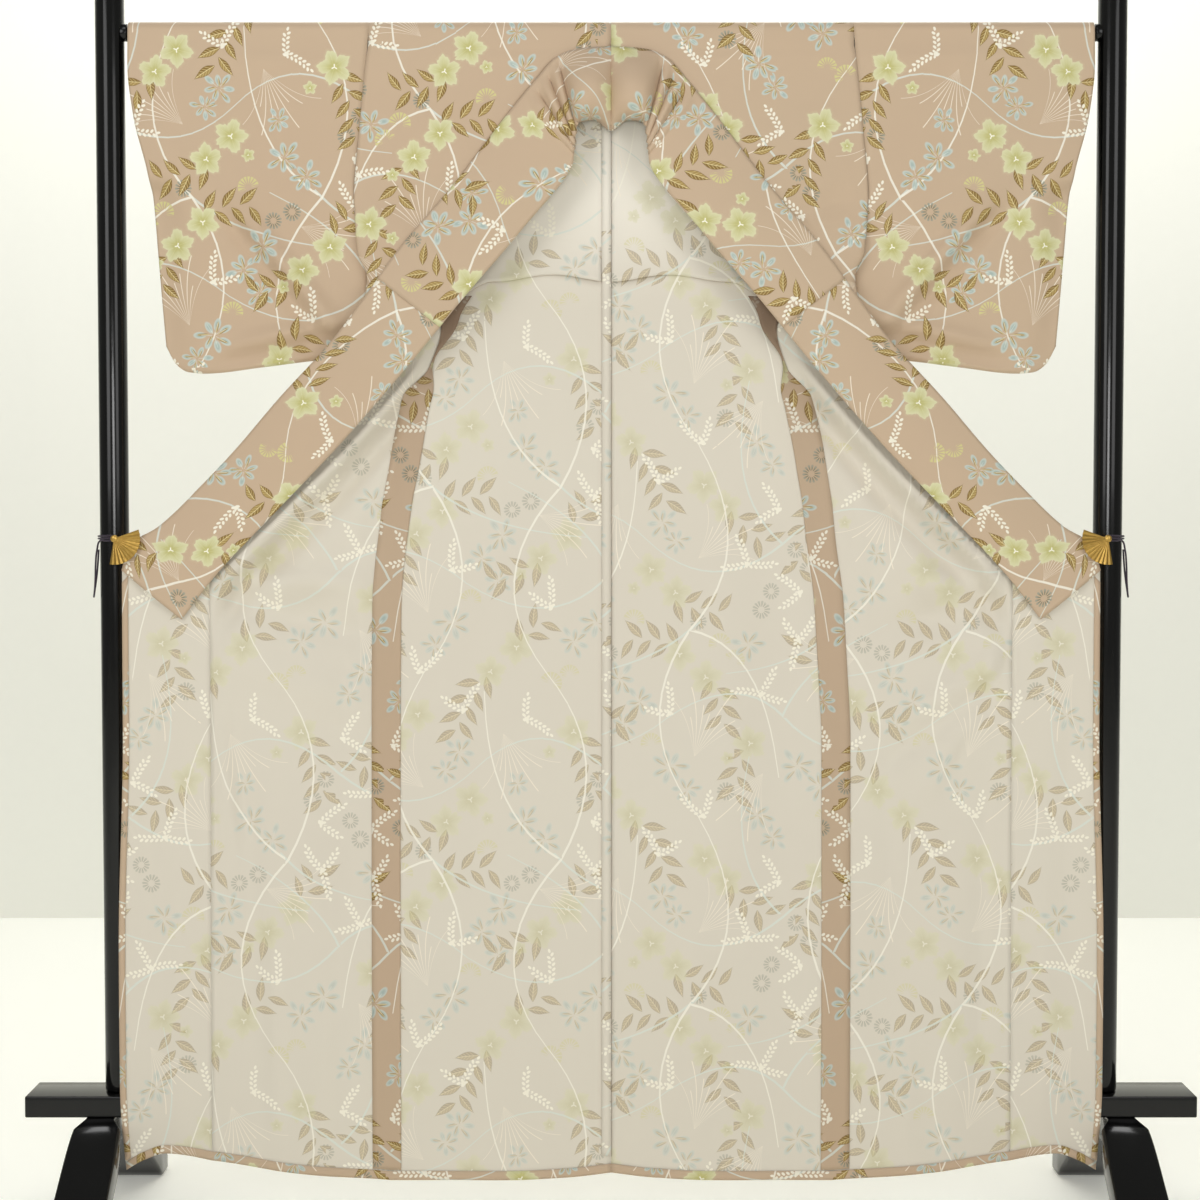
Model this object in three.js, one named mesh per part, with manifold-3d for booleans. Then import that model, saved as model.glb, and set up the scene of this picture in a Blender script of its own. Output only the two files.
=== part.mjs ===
// A komon kimono hung open on a black lacquered kimono stand, at real size in millimetres.
// +Z is up and the opened fronts face -Y. Left and right are the viewer's, so left has negative x.
// Each cloth piece is a thin wall worked out from its seam and edge lines, for the right-hand side,
// and mirrored for the left. "Forward" in the tables is distance towards the viewer, which is -y.
import * as THREE from "three";
import { mergeVertices } from "three/addons/utils/BufferGeometryUtils.js";
import Module from "manifold-3d";

const wasm = await Module();
wasm.setup();

// Stand
const POST_X = 695;
const POST_RADIUS = 20;
const POST_TOP = 1750;
const BEAM_LENGTH = 1640;
const BEAM_DEPTH = 76;
const BEAM_HEIGHT = 30;
const BEAM_TOP = 188;
const BEAM_CHAMFER = 2;
const FOOT_X = 715;
const ROD_Z = 1668.5;
const ROD_RADIUS = 12;
const ROD_END_RADIUS = 7;
const ROD_THICK_HALF = 640;
const BRACKET_LENGTH = 14;
const BRACKET_RADIUS = 12;

// Cloth
const CLOTH = 1.6;
const SEAM_GAP = 0.3;
const ROD_CLEARANCE = 0.8;
const WRAP_RADIUS = ROD_RADIUS + ROD_CLEARANCE + CLOTH / 2;
const LAYER = CLOTH + SEAM_GAP;
const LOOSE = 0.7;
const TUCK_HEIGHT = 60;
const CENTRE_STRIP_WIDTH = 13;
const SIDE_STRIP_HALF = 22;
const HEM_HEIGHT = 13;
const FRONT_EDGE_WIDTH = 10;

// Clips and their cords
const CLIP_RADIUS = 36;
const CLIP_RIBS = 12;
const CLIP_ROOT_X = 686;
const CLIP_ROOT_Z = 968;
const CORD_RADIUS = 1.3;
const CORD_CLEARANCE = 0.7;

// The edge where the collar is sewn on, from the centre back to the collar's end.
const SEAM_LINE = [
  { run: 0, x: 0, z: 1645, forward: 14.5 },
  { run: 48, x: 46, z: 1641, forward: 15 },
  { run: 78, x: 74, z: 1631, forward: 16 },
  { run: 120, x: 103, z: 1600, forward: 18 },
  { run: 178, x: 140, z: 1555, forward: 21 },
  { run: 303, x: 216, z: 1456, forward: 25 },
  { run: 417, x: 290, z: 1369, forward: 29 },
  { run: 500, x: 339, z: 1302, forward: 31 },
  { run: 579, x: 387, z: 1239, forward: 31 },
  { run: 684, x: 458, z: 1162, forward: 31 },
  { run: 779, x: 520, z: 1090, forward: 31 },
  { run: 831, x: 556, z: 1052, forward: 31 },
  { run: 929, x: 627, z: 984, forward: 31 },
  { run: 978, x: 668, z: 958, forward: 31 },
  { run: 1014, x: 678, z: 924, forward: 31 },
];

// The collar's free edge, level by level with the seam line.
const FREE_EDGE = [
  { run: 0, x: 0, z: 1529, forward: 27 },
  { run: 30, x: 24, z: 1545, forward: 30 },
  { run: 60, x: 46, z: 1540, forward: 32 },
  { run: 95, x: 50, z: 1517, forward: 31 },
  { run: 178, x: 52, z: 1487, forward: 30 },
  { run: 303, x: 126, z: 1389, forward: 34 },
  { run: 417, x: 204, z: 1298, forward: 37 },
  { run: 500, x: 253, z: 1238, forward: 38 },
  { run: 579, x: 301, z: 1181, forward: 38 },
  { run: 684, x: 375, z: 1097, forward: 38 },
  { run: 779, x: 437, z: 1032, forward: 38 },
  { run: 831, x: 474, z: 994, forward: 38 },
  { run: 929, x: 548, z: 916, forward: 37 },
  { run: 1014, x: 595, z: 856, forward: 36 },
];
const OVER_COLLAR_END = 480;

// Where each row of the front meets the sleeve, turns back, and ends at its own side edge.
const FRONT_ROWS = [
  { run: 0, foldX: 335, foldZ: 1650, foldF: 14, edgeX: 335, edgeZ: 1650, edgeF: 14 },
  { run: 48, foldX: 338, foldZ: 1632, foldF: 14, edgeX: 338, edgeZ: 1632, edgeF: 14 },
  { run: 120, foldX: 343, foldZ: 1588, foldF: 14, edgeX: 343, edgeZ: 1588, edgeF: 14 },
  { run: 178, foldX: 347, foldZ: 1546, foldF: 14, edgeX: 347, edgeZ: 1546, edgeF: 14 },
  { run: 303, foldX: 356, foldZ: 1436, foldF: 15, edgeX: 356, edgeZ: 1436, edgeF: 15 },
  { run: 360, foldX: 354, foldZ: 1396, foldF: 19, edgeX: 342, edgeZ: 1400, edgeF: 14 },
  { run: 417, foldX: 351, foldZ: 1362, foldF: 22, edgeX: 322, edgeZ: 1368, edgeF: 12 },
  { run: 460, foldX: 338, foldZ: 1331, foldF: 26, edgeX: 292, edgeZ: 1332, edgeF: 9 },
  { run: 500, foldX: 339, foldZ: 1302, foldF: 31, edgeX: 262, edgeZ: 1302, edgeF: 6 },
  { run: 579, foldX: 387, foldZ: 1239, foldF: 31, edgeX: 236, edgeZ: 1258, edgeF: 4 },
  { run: 640, foldX: 428, foldZ: 1195, foldF: 31, edgeX: 252, edgeZ: 1203, edgeF: 3 },
  { run: 684, foldX: 458, foldZ: 1162, foldF: 31, edgeX: 267, edgeZ: 1150, edgeF: 2 },
  { run: 779, foldX: 520, foldZ: 1090, foldF: 31, edgeX: 284, edgeZ: 1062, edgeF: 2 },
  { run: 831, foldX: 556, foldZ: 1052, foldF: 31, edgeX: 294, edgeZ: 1010, edgeF: 3 },
];

// The side seam and the okumi seam below the slanted rows, by height.
const SIDE_SEAM = [
  { z: 60, x: 308, forward: 42 },
  { z: 200, x: 308, forward: 42 },
  { z: 700, x: 309, forward: 16 },
  { z: 870, x: 308, forward: 8 },
  { z: 1010, x: 294, forward: 3 },
];
const OKUMI_SEAM = [
  { z: 80, x: 557, forward: 45 },
  { z: 200, x: 557, forward: 44 },
  { z: 700, x: 557, forward: 31 },
  { z: 900, x: 557, forward: 30 },
  { z: 1052, x: 556, forward: 31 },
];
const FRONT_EDGE = [
  { z: 86, x: 676, forward: 48 },
  { z: 200, x: 684, forward: 46 },
  { z: 400, x: 685, forward: 41 },
  { z: 700, x: 678, forward: 34 },
  { z: 924, x: 678, forward: 31 },
];

// The lower edge of the whole garment, from the centre back to the front edge.
const HEM = [
  { x: 0, z: 83 },
  { x: 60, z: 76 },
  { x: 158, z: 72 },
  { x: 312, z: 72 },
  { x: 440, z: 82 },
  { x: 538, z: 97 },
  { x: 620, z: 111 },
  { x: 650, z: 102 },
  { x: 676, z: 88 },
];

const HEM_SIDE = 308;
const HEM_OKUMI = 557;

// The outer edge of the back: armhole, slit, then the side seam.
const BACK_EDGE = [
  { z: 60, x: 308, back: -42 },
  { z: 200, x: 308, back: -42 },
  { z: 700, x: 309, back: -16 },
  { z: 870, x: 308, back: -8 },
  { z: 1010, x: 294, back: -3 },
  { z: 1062, x: 284, back: -2 },
  { z: 1150, x: 267, back: -2 },
  { z: 1203, x: 252, back: -1 },
  { z: 1250, x: 262, back: 3 },
  { z: 1302, x: 300, back: 8 },
  { z: 1368, x: 338, back: 14 },
  { z: 1436, x: 356, back: 14 },
  { z: 1546, x: 347, back: 14 },
  { z: 1668.5, x: 335, back: 13.3 },
];

// The middle of the back, which leans forward to hang in front of the base beam.
const BACK_MIDDLE = [
  { z: 60, back: -43 },
  { z: 200, back: -43 },
  { z: 1000, back: -1 },
  { z: 1330, back: 14 },
];

// The sleeve's inner and outer edges by height, and its lower edge by share of its width.
const SLEEVE_INNER = [
  { z: 1200, x: 340 },
  { z: 1306, x: 340 },
  { z: 1380, x: 353 },
  { z: 1436, x: 356 },
  { z: 1546, x: 347 },
  { z: 1668.5, x: 335 },
  { z: 1690, x: 334 },
];
const SLEEVE_OUTER = [
  { z: 1200, x: 617 },
  { z: 1270, x: 623 },
  { z: 1361, x: 630 },
  { z: 1438, x: 636 },
  { z: 1472, x: 641 },
  { z: 1550, x: 660 },
  { z: 1622, x: 668 },
  { z: 1690, x: 667 },
];
const SLEEVE_BOTTOM = [
  { share: 0, z: 1220 },
  { share: 0.25, z: 1216 },
  { share: 0.52, z: 1207 },
  { share: 0.82, z: 1198 },
  { share: 0.9, z: 1200 },
  { share: 0.96, z: 1211 },
  { share: 1, z: 1236 },
];
const SLEEVE_HALF_DEPTH = [
  { z: 1190, half: 8.5 },
  { z: 1380, half: 9 },
  { z: 1436, half: 13 },
  { z: 1600, half: 13.3 },
];
const CUFF_END_Z = 1456;
const SEWN_HALF_DEPTH = 1.3;

// Large folds: soft ridges (positive) and troughs (negative) along a line from a to b.
const SLEEVE_FOLDS = [
  { ax: 531, az: 1460, bx: 470, bz: 1338, width: 16, height: 5 },
  { ax: 470, az: 1338, bx: 380, bz: 1246, width: 16, height: 5 },
];
const FRONT_FOLDS = {
  left: [
    { ax: 552, az: 860, bx: 540, bz: 650, width: 22, height: 5 },
    { ax: 470, az: 960, bx: 400, bz: 860, width: 34, height: -6 },
    { ax: 430, az: 620, bx: 425, bz: 150, width: 40, height: 5 },
  ],
  right: [
    { ax: 590, az: 850, bx: 400, bz: 630, width: 24, height: 6 },
    { ax: 500, az: 900, bx: 430, bz: 850, width: 34, height: -6 },
    { ax: 455, az: 560, bx: 470, bz: 130, width: 42, height: 5 },
  ],
};
const OKUMI_FOLDS = {
  left: [{ ax: 592, az: 840, bx: 578, bz: 700, width: 14, height: 4 }],
  right: [{ ax: 596, az: 860, bx: 575, bz: 800, width: 15, height: 4 }],
};
const BACK_FOLDS = {
  left: [
    { ax: 150, az: 1150, bx: 175, bz: 500, width: 45, height: 5 },
    { ax: 235, az: 1000, bx: 240, bz: 160, width: 38, height: -4 },
  ],
  right: [
    { ax: 165, az: 1080, bx: 150, bz: 420, width: 50, height: 5 },
    { ax: 230, az: 950, bx: 245, bz: 130, width: 36, height: -4 },
  ],
};
const ROLL = { below: 20, width: 15, height: 7 };

// The feet, from the middle of the arch to the toe.
const FOOT_SECTIONS = [
  { y: 0, width: 42, top: 157.7, bottom: 112 },
  { y: 40, width: 42, top: 157.7, bottom: 109 },
  { y: 56, width: 66, top: 149, bottom: 101 },
  { y: 90, width: 70, top: 126, bottom: 79 },
  { y: 135, width: 72, top: 92, bottom: 48 },
  { y: 175, width: 74, top: 61, bottom: 19 },
  { y: 200, width: 75, top: 44, bottom: 0 },
  { y: 236, width: 75, top: 24, bottom: 0 },
];
const FOOT_CHAMFER = 5;

// Cord route, from the clip's ring: height above the clip's root against turns round the post.
const CORD_WRAP = { startDegrees: -108, turns: 2.3, pointsPerTurn: 10, pitch: 3.4 };
const CORD_LOOP = [
  { out: 1, forward: 8, drop: 12 },
  { out: 3, forward: 9, drop: 34 },
  { out: 4, forward: 8, drop: 56 },
  { out: 6, forward: 5, drop: 72 },
  { out: 8, forward: 0, drop: 78 },
  { out: 8, forward: -5, drop: 70 },
  { out: 6, forward: -8, drop: 52 },
  { out: 4, forward: -9, drop: 30 },
  { out: 3, forward: -10, drop: 12 },
];

// Maths

const mix = (a, b, t) => a + (b - a) * t;

function ease(from, to, at) {
  const t = Math.min(Math.max((at - from) / (to - from), 0), 1);
  return t * t * (3 - 2 * t);
}

// One column of a table, as a smooth line that never overshoots its rows.
function read(table, key, column, at) {
  const last = table.length - 1;
  if (at <= table[0][key]) return table[0][column];
  if (at >= table[last][key]) return table[last][column];
  const i = table.findIndex((row) => row[key] > at) - 1;
  const slope = (k) =>
    (table[k + 1][column] - table[k][column]) / (table[k + 1][key] - table[k][key]);
  const tangent = (k) => {
    if (k === 0) return slope(0);
    if (k === last) return slope(last - 1);
    const [before, after] = [slope(k - 1), slope(k)];
    return before * after <= 0 ? 0 : (2 * before * after) / (before + after);
  };
  const span = table[i + 1][key] - table[i][key];
  const t = (at - table[i][key]) / span;
  return (
    table[i][column] * (1 - t) ** 2 * (1 + 2 * t) +
    tangent(i) * span * t * (1 - t) ** 2 +
    table[i + 1][column] * t * t * (3 - 2 * t) -
    tangent(i + 1) * span * t * t * (1 - t)
  );
}

// Height of all the folds that pass near a place, fading at their ends.
function foldHeight(folds, x, z) {
  let height = 0;
  for (const fold of folds) {
    const [dx, dz] = [fold.bx - fold.ax, fold.bz - fold.az];
    const length = Math.hypot(dx, dz);
    const share = ((x - fold.ax) * dx + (z - fold.az) * dz) / length ** 2;
    const off = ((x - fold.ax) * dz - (z - fold.az) * dx) / length;
    const fade = ease(-0.25, 0.25, share) * ease(1.25, 0.75, share);
    height += fold.height * fade * Math.exp(-((off / fold.width) ** 2));
  }
  return height;
}

// Walls of cloth

// A closed wall on a grid of points (rows of equal length), moved out by `lift` along its normal.
function wall(rows, { thickness = CLOTH, lift = 0, ring = false } = {}) {
  const [down, across] = [rows.length, rows[0].length];
  const at = (i, j) => rows[i][ring ? (j + across) % across : j];
  const clampRow = (i) => Math.min(Math.max(i, 0), down - 1);
  const clampColumn = (j) => (ring ? j : Math.min(Math.max(j, 0), across - 1));
  const sides = [lift + thickness / 2, lift - thickness / 2];
  const vertices = [];
  for (const offset of sides)
    for (let i = 0; i < down; i++)
      for (let j = 0; j < across; j++) {
        const alongRow = at(i, clampColumn(j + 1)).clone().sub(at(i, clampColumn(j - 1)));
        const alongColumn = at(clampRow(i + 1), j).clone().sub(at(clampRow(i - 1), j));
        const normal = alongRow.cross(alongColumn).normalize();
        vertices.push(at(i, j).clone().addScaledVector(normal, offset));
      }
  const index = [];
  const id = (side, i, j) => (side * down + i) * across + (j % across);
  const quad = (a, b, c, d) => index.push(a, b, c, a, c, d);
  const cells = ring ? across : across - 1;
  for (let i = 0; i + 1 < down; i++)
    for (let j = 0; j < cells; j++) {
      quad(id(0, i, j), id(0, i, j + 1), id(0, i + 1, j + 1), id(0, i + 1, j));
      quad(id(1, i, j), id(1, i + 1, j), id(1, i + 1, j + 1), id(1, i, j + 1));
    }
  for (let j = 0; j < cells; j++) {
    quad(id(0, 0, j), id(1, 0, j), id(1, 0, j + 1), id(0, 0, j + 1));
    const end = down - 1;
    quad(id(0, end, j), id(0, end, j + 1), id(1, end, j + 1), id(1, end, j));
  }
  if (!ring)
    for (let i = 0; i + 1 < down; i++) {
      const end = across - 1;
      quad(id(0, i, 0), id(0, i + 1, 0), id(1, i + 1, 0), id(1, i, 0));
      quad(id(0, i, end), id(1, i, end), id(1, i + 1, end), id(0, i + 1, end));
    }
  return geometryOf(vertices, index);
}

function geometryOf(vertices, index) {
  const geometry = new THREE.BufferGeometry().setFromPoints(vertices);
  return geometry.setIndex(index);
}

// Positions alone, with shared vertices merged.
function bare(geometry) {
  const copy = geometry.clone();
  copy.deleteAttribute("normal");
  copy.deleteAttribute("uv");
  return mergeVertices(copy, 1e-4);
}

// The same piece for the left-hand side.
function mirrored(geometry) {
  const copy = bare(geometry).scale(-1, 1, 1);
  const index = copy.getIndex().array;
  for (let i = 0; i < index.length; i += 3)
    [index[i + 1], index[i + 2]] = [index[i + 2], index[i + 1]];
  return copy;
}

const forSide = (side, geometry) => (side === "left" ? mirrored(geometry) : geometry);

// Steps from 0 to 1.
const steps = (count) => Array.from({ length: count + 1 }, (_, i) => i / count);

const grid = (downs, acrosses, place) => downs.map((v) => acrosses.map((u) => place(u, v)));

// Evenly spaced points along a polyline.
function spaced(points, count) {
  const curve = new THREE.CurvePath();
  for (let i = 0; i + 1 < points.length; i++)
    if (points[i].distanceTo(points[i + 1]) > 0.01)
      curve.add(new THREE.LineCurve3(points[i], points[i + 1]));
  return steps(count).map((t) => curve.getPointAt(t));
}

// Collar

const COLLAR_CROWN = 5;
const COLLAR_ROWS = 28;
const COLLAR_END = SEAM_LINE.at(-1).run;

function collarPoint(across, run) {
  const seam = (column) => read(SEAM_LINE, "run", column, run);
  const free = (column) => read(FREE_EDGE, "run", column, run);
  const crown = COLLAR_CROWN * Math.sin(Math.PI * across) * (1 + ease(110, 0, run));
  const forward = mix(seam("forward") + LAYER, free("forward"), across) + crown;
  return new THREE.Vector3(
    mix(seam("x"), free("x"), across) + SEAM_GAP / 2,
    -forward,
    mix(seam("z"), free("z"), across),
  );
}

function collarWall(end, lift) {
  const runs = steps(COLLAR_ROWS).map((v) => v * COLLAR_END).filter((run) => run <= end);
  return wall(grid(runs, steps(5), collarPoint), { lift });
}

// Front of the body panel

// How far below the collar's free edge a place lies, at right angles to it.
function belowCollar(x, z) {
  const onEdge = read(FREE_EDGE_BY_X, "x", "z", x);
  const slope = Math.SQRT1_2 * 1.1;
  return (onEdge - z) * slope;
}
const FREE_EDGE_BY_X = FREE_EDGE.filter((row) => row.x > 51);

function rollHeight(x, z) {
  if (x < 240) return 0;
  const off = (belowCollar(x, z) - ROLL.below) / ROLL.width;
  return ROLL.height * Math.exp(-off * off) * ease(240, 290, x) * ease(620, 560, x);
}

const FRONT_COLUMNS = 12;
const SIDE_SEAM_GAP = 0.6;

// A slanted row: from the collar seam out to its fold, round it, and back to its side edge.
function slantedRow(run, folds) {
  const seam = (column) => read(SEAM_LINE, "run", column, run);
  const row = (column) => read(FRONT_ROWS, "run", column, run);
  const start = new THREE.Vector3(seam("x") + SEAM_GAP / 2, -seam("forward"), seam("z"));
  const end = new THREE.Vector3(row("edgeX"), -row("edgeF"), row("edgeZ"));
  if (run >= 500) end.x += SIDE_SEAM_GAP;
  const fold = new THREE.Vector3(row("foldX"), -row("foldF"), row("foldZ"));
  const turns = run > 303 && run < 500;
  const middle = turns ? [fold.clone().add(new THREE.Vector3(0, (end.y - fold.y) / 2, 0))] : [];
  const path = turns ? [start, fold, ...middle, end] : [start, end];
  const points = spaced(path, FRONT_COLUMNS);
  return turns || run <= 303 ? points : points.map((p, j) => sagged(p, j, folds));
}

// The hanging cloth keeps both its edges and takes its folds between them.
function sagged(point, column, folds) {
  const share = column / FRONT_COLUMNS;
  const inner = ease(0, 0.15, share) * ease(1, 0.85, share);
  const height = foldHeight(folds, point.x, point.z) + rollHeight(point.x, point.z);
  point.y -= height * inner;
  return point;
}

function hangingRow(v, folds) {
  const sideZ = mix(FRONT_ROWS.at(-1).edgeZ, read(HEM, "x", "z", HEM_SIDE), v);
  const seamZ = mix(SEAM_LINE[11].z, read(HEM, "x", "z", HEM_OKUMI), v);
  const start = new THREE.Vector3(
    read(OKUMI_SEAM, "z", "x", seamZ),
    -read(OKUMI_SEAM, "z", "forward", seamZ),
    seamZ,
  );
  const end = new THREE.Vector3(
    read(SIDE_SEAM, "z", "x", sideZ) + SIDE_SEAM_GAP,
    -read(SIDE_SEAM, "z", "forward", sideZ),
    sideZ,
  );
  const points = spaced([start, end], FRONT_COLUMNS);
  points.forEach((point) => {
    const share = (start.x - point.x) / (start.x - end.x);
    const straightHem = mix(read(HEM, "x", "z", HEM_OKUMI), read(HEM, "x", "z", HEM_SIDE), share);
    point.z += (read(HEM, "x", "z", point.x) - straightHem) * Math.sin(Math.PI * share) * v ** 4;
  });
  return points.map((p, j) => sagged(p, j, folds));
}

// Over the rod, from its top to its front (turn -1) or its back (turn 1).
function rodRow(angle, turn, width, columns) {
  return steps(columns).map(
    (u) =>
      new THREE.Vector3(
        mix(SEAM_GAP / 2, width, u),
        turn * WRAP_RADIUS * Math.sin(angle),
        ROD_Z + WRAP_RADIUS * Math.cos(angle),
      ),
  );
}
const ROD_ANGLES = [0.02, 0.5, 1.0, Math.PI / 2];

// The slanted rows that reach the side seam.
const SEWN_RUNS = [640, 690, 735, 780, 831];
const HANGING_ROWS = 14;

function frontRows(side) {
  const folds = FRONT_FOLDS[side];
  const openRuns = [0, 30, 60, 95, 140, 195, 250, 303, 335, 365, 395, 425, 460, 500, 540, 590];
  return [
    ...ROD_ANGLES.map((angle) => rodRow(angle, -1, 335, FRONT_COLUMNS)),
    ...[...openRuns, ...SEWN_RUNS].map((run) => slantedRow(run, folds)),
    ...steps(HANGING_ROWS).slice(1).map((v) => hangingRow(v, folds)),
  ];
}

// Okumi

function okumiPoint(across, v, folds) {
  const [topX, topZ] = [
    mix(SEAM_LINE[11].x, SEAM_LINE.at(-1).x, across),
    mix(SEAM_LINE[11].z, SEAM_LINE.at(-1).z, across),
  ];
  const hemX = mix(HEM_OKUMI, HEM.at(-1).x, across);
  const z = mix(topZ, read(HEM, "x", "z", hemX), v);
  const seamX = read(OKUMI_SEAM, "z", "x", z) + SEAM_GAP;
  const edgeX = read(FRONT_EDGE, "z", "x", z);
  const x = v === 0 ? topX + SEAM_GAP : mix(seamX, edgeX, across);
  const forward = mix(
    read(OKUMI_SEAM, "z", "forward", z),
    read(FRONT_EDGE, "z", "forward", z),
    across,
  );
  const inner = Math.sin(Math.PI * across);
  return new THREE.Vector3(x, -forward - inner * foldHeight(folds, x, z), z);
}

const okumiGrid = (side) =>
  grid(steps(HANGING_ROWS), steps(6), (u, v) => okumiPoint(u, v, OKUMI_FOLDS[side]));

// Back of the body panel

const BACK_COLUMNS = 9;
const BACK_TOP = ROD_Z - 10;
const BACK_UPPER_ROWS = [1658, 1600, 1540, 1480, 1436, 1402, 1368, 1335, 1302, 1276, 1250, 1226];

function backPoint(across, v, folds) {
  const hemX = HEM_SIDE * across;
  const z = mix(BACK_TOP, read(HEM, "x", "z", hemX), v);
  const edgeX = read(BACK_EDGE, "z", "x", z) - SEAM_GAP;
  const edgeBack = read(BACK_EDGE, "z", "back", z);
  const x = mix(SEAM_GAP / 2, edgeX, across);
  const middle = read(BACK_MIDDLE, "z", "back", z);
  const back = mix(middle, edgeBack, ease(0.35, 1.1, across) / ease(0.35, 1.1, 1));
  const inner = Math.sin(Math.PI * across);
  return new THREE.Vector3(x, back - inner * foldHeight(folds, x, z), z);
}

// How far down the back a height lies, at a share of its width.
function shareDown(z, across) {
  return (BACK_TOP - z) / (BACK_TOP - read(HEM, "x", "z", HEM_SIDE * across));
}

function backRows(side) {
  const rodRows = ROD_ANGLES.map((angle) => rodRow(angle, 1, 335 - SEAM_GAP, BACK_COLUMNS));
  const sideSeamRows = [
    ...SEWN_RUNS.map((run) => slantedRow(run, [])),
    ...steps(HANGING_ROWS).slice(1).map((v) => hangingRow(v, [])),
  ].map((row) => row.at(-1).z);
  const downs = [...BACK_UPPER_ROWS, ...sideSeamRows].map((z) => shareDown(z, 1));
  const hanging = grid(downs, steps(BACK_COLUMNS), (u, v) => backPoint(u, v, BACK_FOLDS[side]));
  return [...rodRows, ...hanging];
}

// Strips on the inside: points of the panels, moved out towards the viewer

function tuckRows(side) {
  const start = side === "left" ? CENTRE_STRIP_WIDTH + 1 : 1;
  const lower = (x) => 1330 - 5 * Math.cos(x / 30) - 40 * ease(165, 235, x);
  return steps(3).map((v) =>
    steps(6).map((u) => {
      const x = mix(start, 222, u);
      const z = lower(x) + TUCK_HEIGHT * (1 - v);
      const span = read(BACK_EDGE, "z", "x", z);
      const share = x / span;
      return backPoint(share, shareDown(z, share), BACK_FOLDS[side]);
    }),
  );
}

// The strips stop just above the hem band.
const STRIP_END = 0.98;

function centreStripRows() {
  return steps(22).map((v) =>
    steps(1).map((u) => {
      const point = backPoint(0, Math.min(v, STRIP_END), []);
      point.x = mix(-CENTRE_STRIP_WIDTH, 0, u);
      return point;
    }),
  );
}

// Across the side seam: the front's last stretch, then the back's.
function sideStripRows(side) {
  const folds = FRONT_FOLDS[side];
  const rows = [
    ...SEWN_RUNS.map((run) => slantedRow(run, folds)),
    ...steps(HANGING_ROWS).slice(1).map((v) => hangingRow(Math.min(v, STRIP_END), folds)),
  ];
  return rows.map((row) => {
    const edge = row.at(-1);
    const v = shareDown(edge.z, 1);
    const inner = 1 - SIDE_STRIP_HALF / edge.x;
    return [
      backPoint(inner, v, BACK_FOLDS[side]),
      backPoint((1 + inner) / 2, v, BACK_FOLDS[side]),
      edge.clone(),
      row.at(-2).clone(),
    ];
  });
}

// Along the whole lower edge: back, front, okumi.
function hemRows(side) {
  const level = (v) => [
    ...steps(6).slice(0, -1).map((u) => backPoint(u, 1 - v * 0.6, BACK_FOLDS[side])),
    ...hangingRow(1 - v, FRONT_FOLDS[side]).reverse(),
    ...steps(5).slice(1).map((u) => okumiPoint(u * 0.99, 1 - v, OKUMI_FOLDS[side])),
  ];
  return [level(HEM_HEIGHT / 960), level(0)];
}

function frontEdgeRows(side) {
  return steps(16).map((v) =>
    steps(1).map((u) =>
      okumiPoint(mix(1 - FRONT_EDGE_WIDTH / 125, 1, u), mix(0.03, 0.97, v), OKUMI_FOLDS[side]),
    ),
  );
}

// Sleeve

const SLEEVE_SHARES = [0, 0.13, 0.27, 0.42, 0.57, 0.7, 0.81, 0.89, 0.95, 1];
const SLEEVE_LEVELS = 10;
const ARMHOLE_GAP = 0.8;

function sleevePoint(share, z, turn) {
  const inner = read(SLEEVE_INNER, "z", "x", z) + ARMHOLE_GAP;
  const x = mix(inner, read(SLEEVE_OUTER, "z", "x", z), share);
  const pinched = ease(0.8, 1, share) * ease(CUFF_END_Z + 12, CUFF_END_Z - 12, z);
  const half = mix(read(SLEEVE_HALF_DEPTH, "z", "half", z), SEWN_HALF_DEPTH, pinched);
  const bulge = foldHeight(SLEEVE_FOLDS, x, z) * (turn < 0 ? 1 : 0.5) * (1 - pinched);
  return new THREE.Vector3(x, turn * (half + bulge), z);
}

// One loop of the sleeve: up its front, over the rod, down its back and round its lower edge.
function sleeveRing(share) {
  const bottom = read(SLEEVE_BOTTOM, "share", "z", share);
  const foot = sleevePoint(share, bottom + SLEEVE_HALF_DEPTH[0].half, 1).y;
  const levels = steps(SLEEVE_LEVELS).map((v) => mix(bottom + foot, ROD_Z, v));
  const overRod = [-60, -30, 0, 30, 60].map((degrees) => {
    const angle = THREE.MathUtils.degToRad(degrees);
    const point = sleevePoint(share, ROD_Z + WRAP_RADIUS * Math.cos(angle), 1);
    point.y = WRAP_RADIUS * Math.sin(angle);
    return point;
  });
  const underneath = [45, 0, -45].map((degrees) => {
    const angle = THREE.MathUtils.degToRad(degrees);
    const point = sleevePoint(share, bottom + foot * (1 - Math.cos(angle)), 1);
    point.y = foot * Math.sin(angle);
    return point;
  });
  return [
    ...levels.map((z) => sleevePoint(share, z, -1)),
    ...overRod,
    ...levels.toReversed().map((z) => sleevePoint(share, z, 1)),
    ...underneath,
  ];
}

// Joins and cuts

function solidOf(geometry) {
  const merged = bare(geometry);
  return new wasm.Manifold(
    new wasm.Mesh({
      numProp: 3,
      vertProperties: merged.getAttribute("position").array,
      triVerts: new Uint32Array(merged.getIndex().array),
    }),
  );
}

function fromSolid(solid) {
  const mesh = solid.getMesh();
  return new THREE.BufferGeometry()
    .setAttribute("position", new THREE.BufferAttribute(mesh.vertProperties, 3))
    .setIndex(new THREE.BufferAttribute(mesh.triVerts, 1));
}

function rodAlongX(radius, fromX, toX, z) {
  const rod = new THREE.CylinderGeometry(radius, radius, toX - fromX, 28);
  return rod.rotateZ(Math.PI / 2).translate((fromX + toX) / 2, 0, z);
}

// Stand

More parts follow.
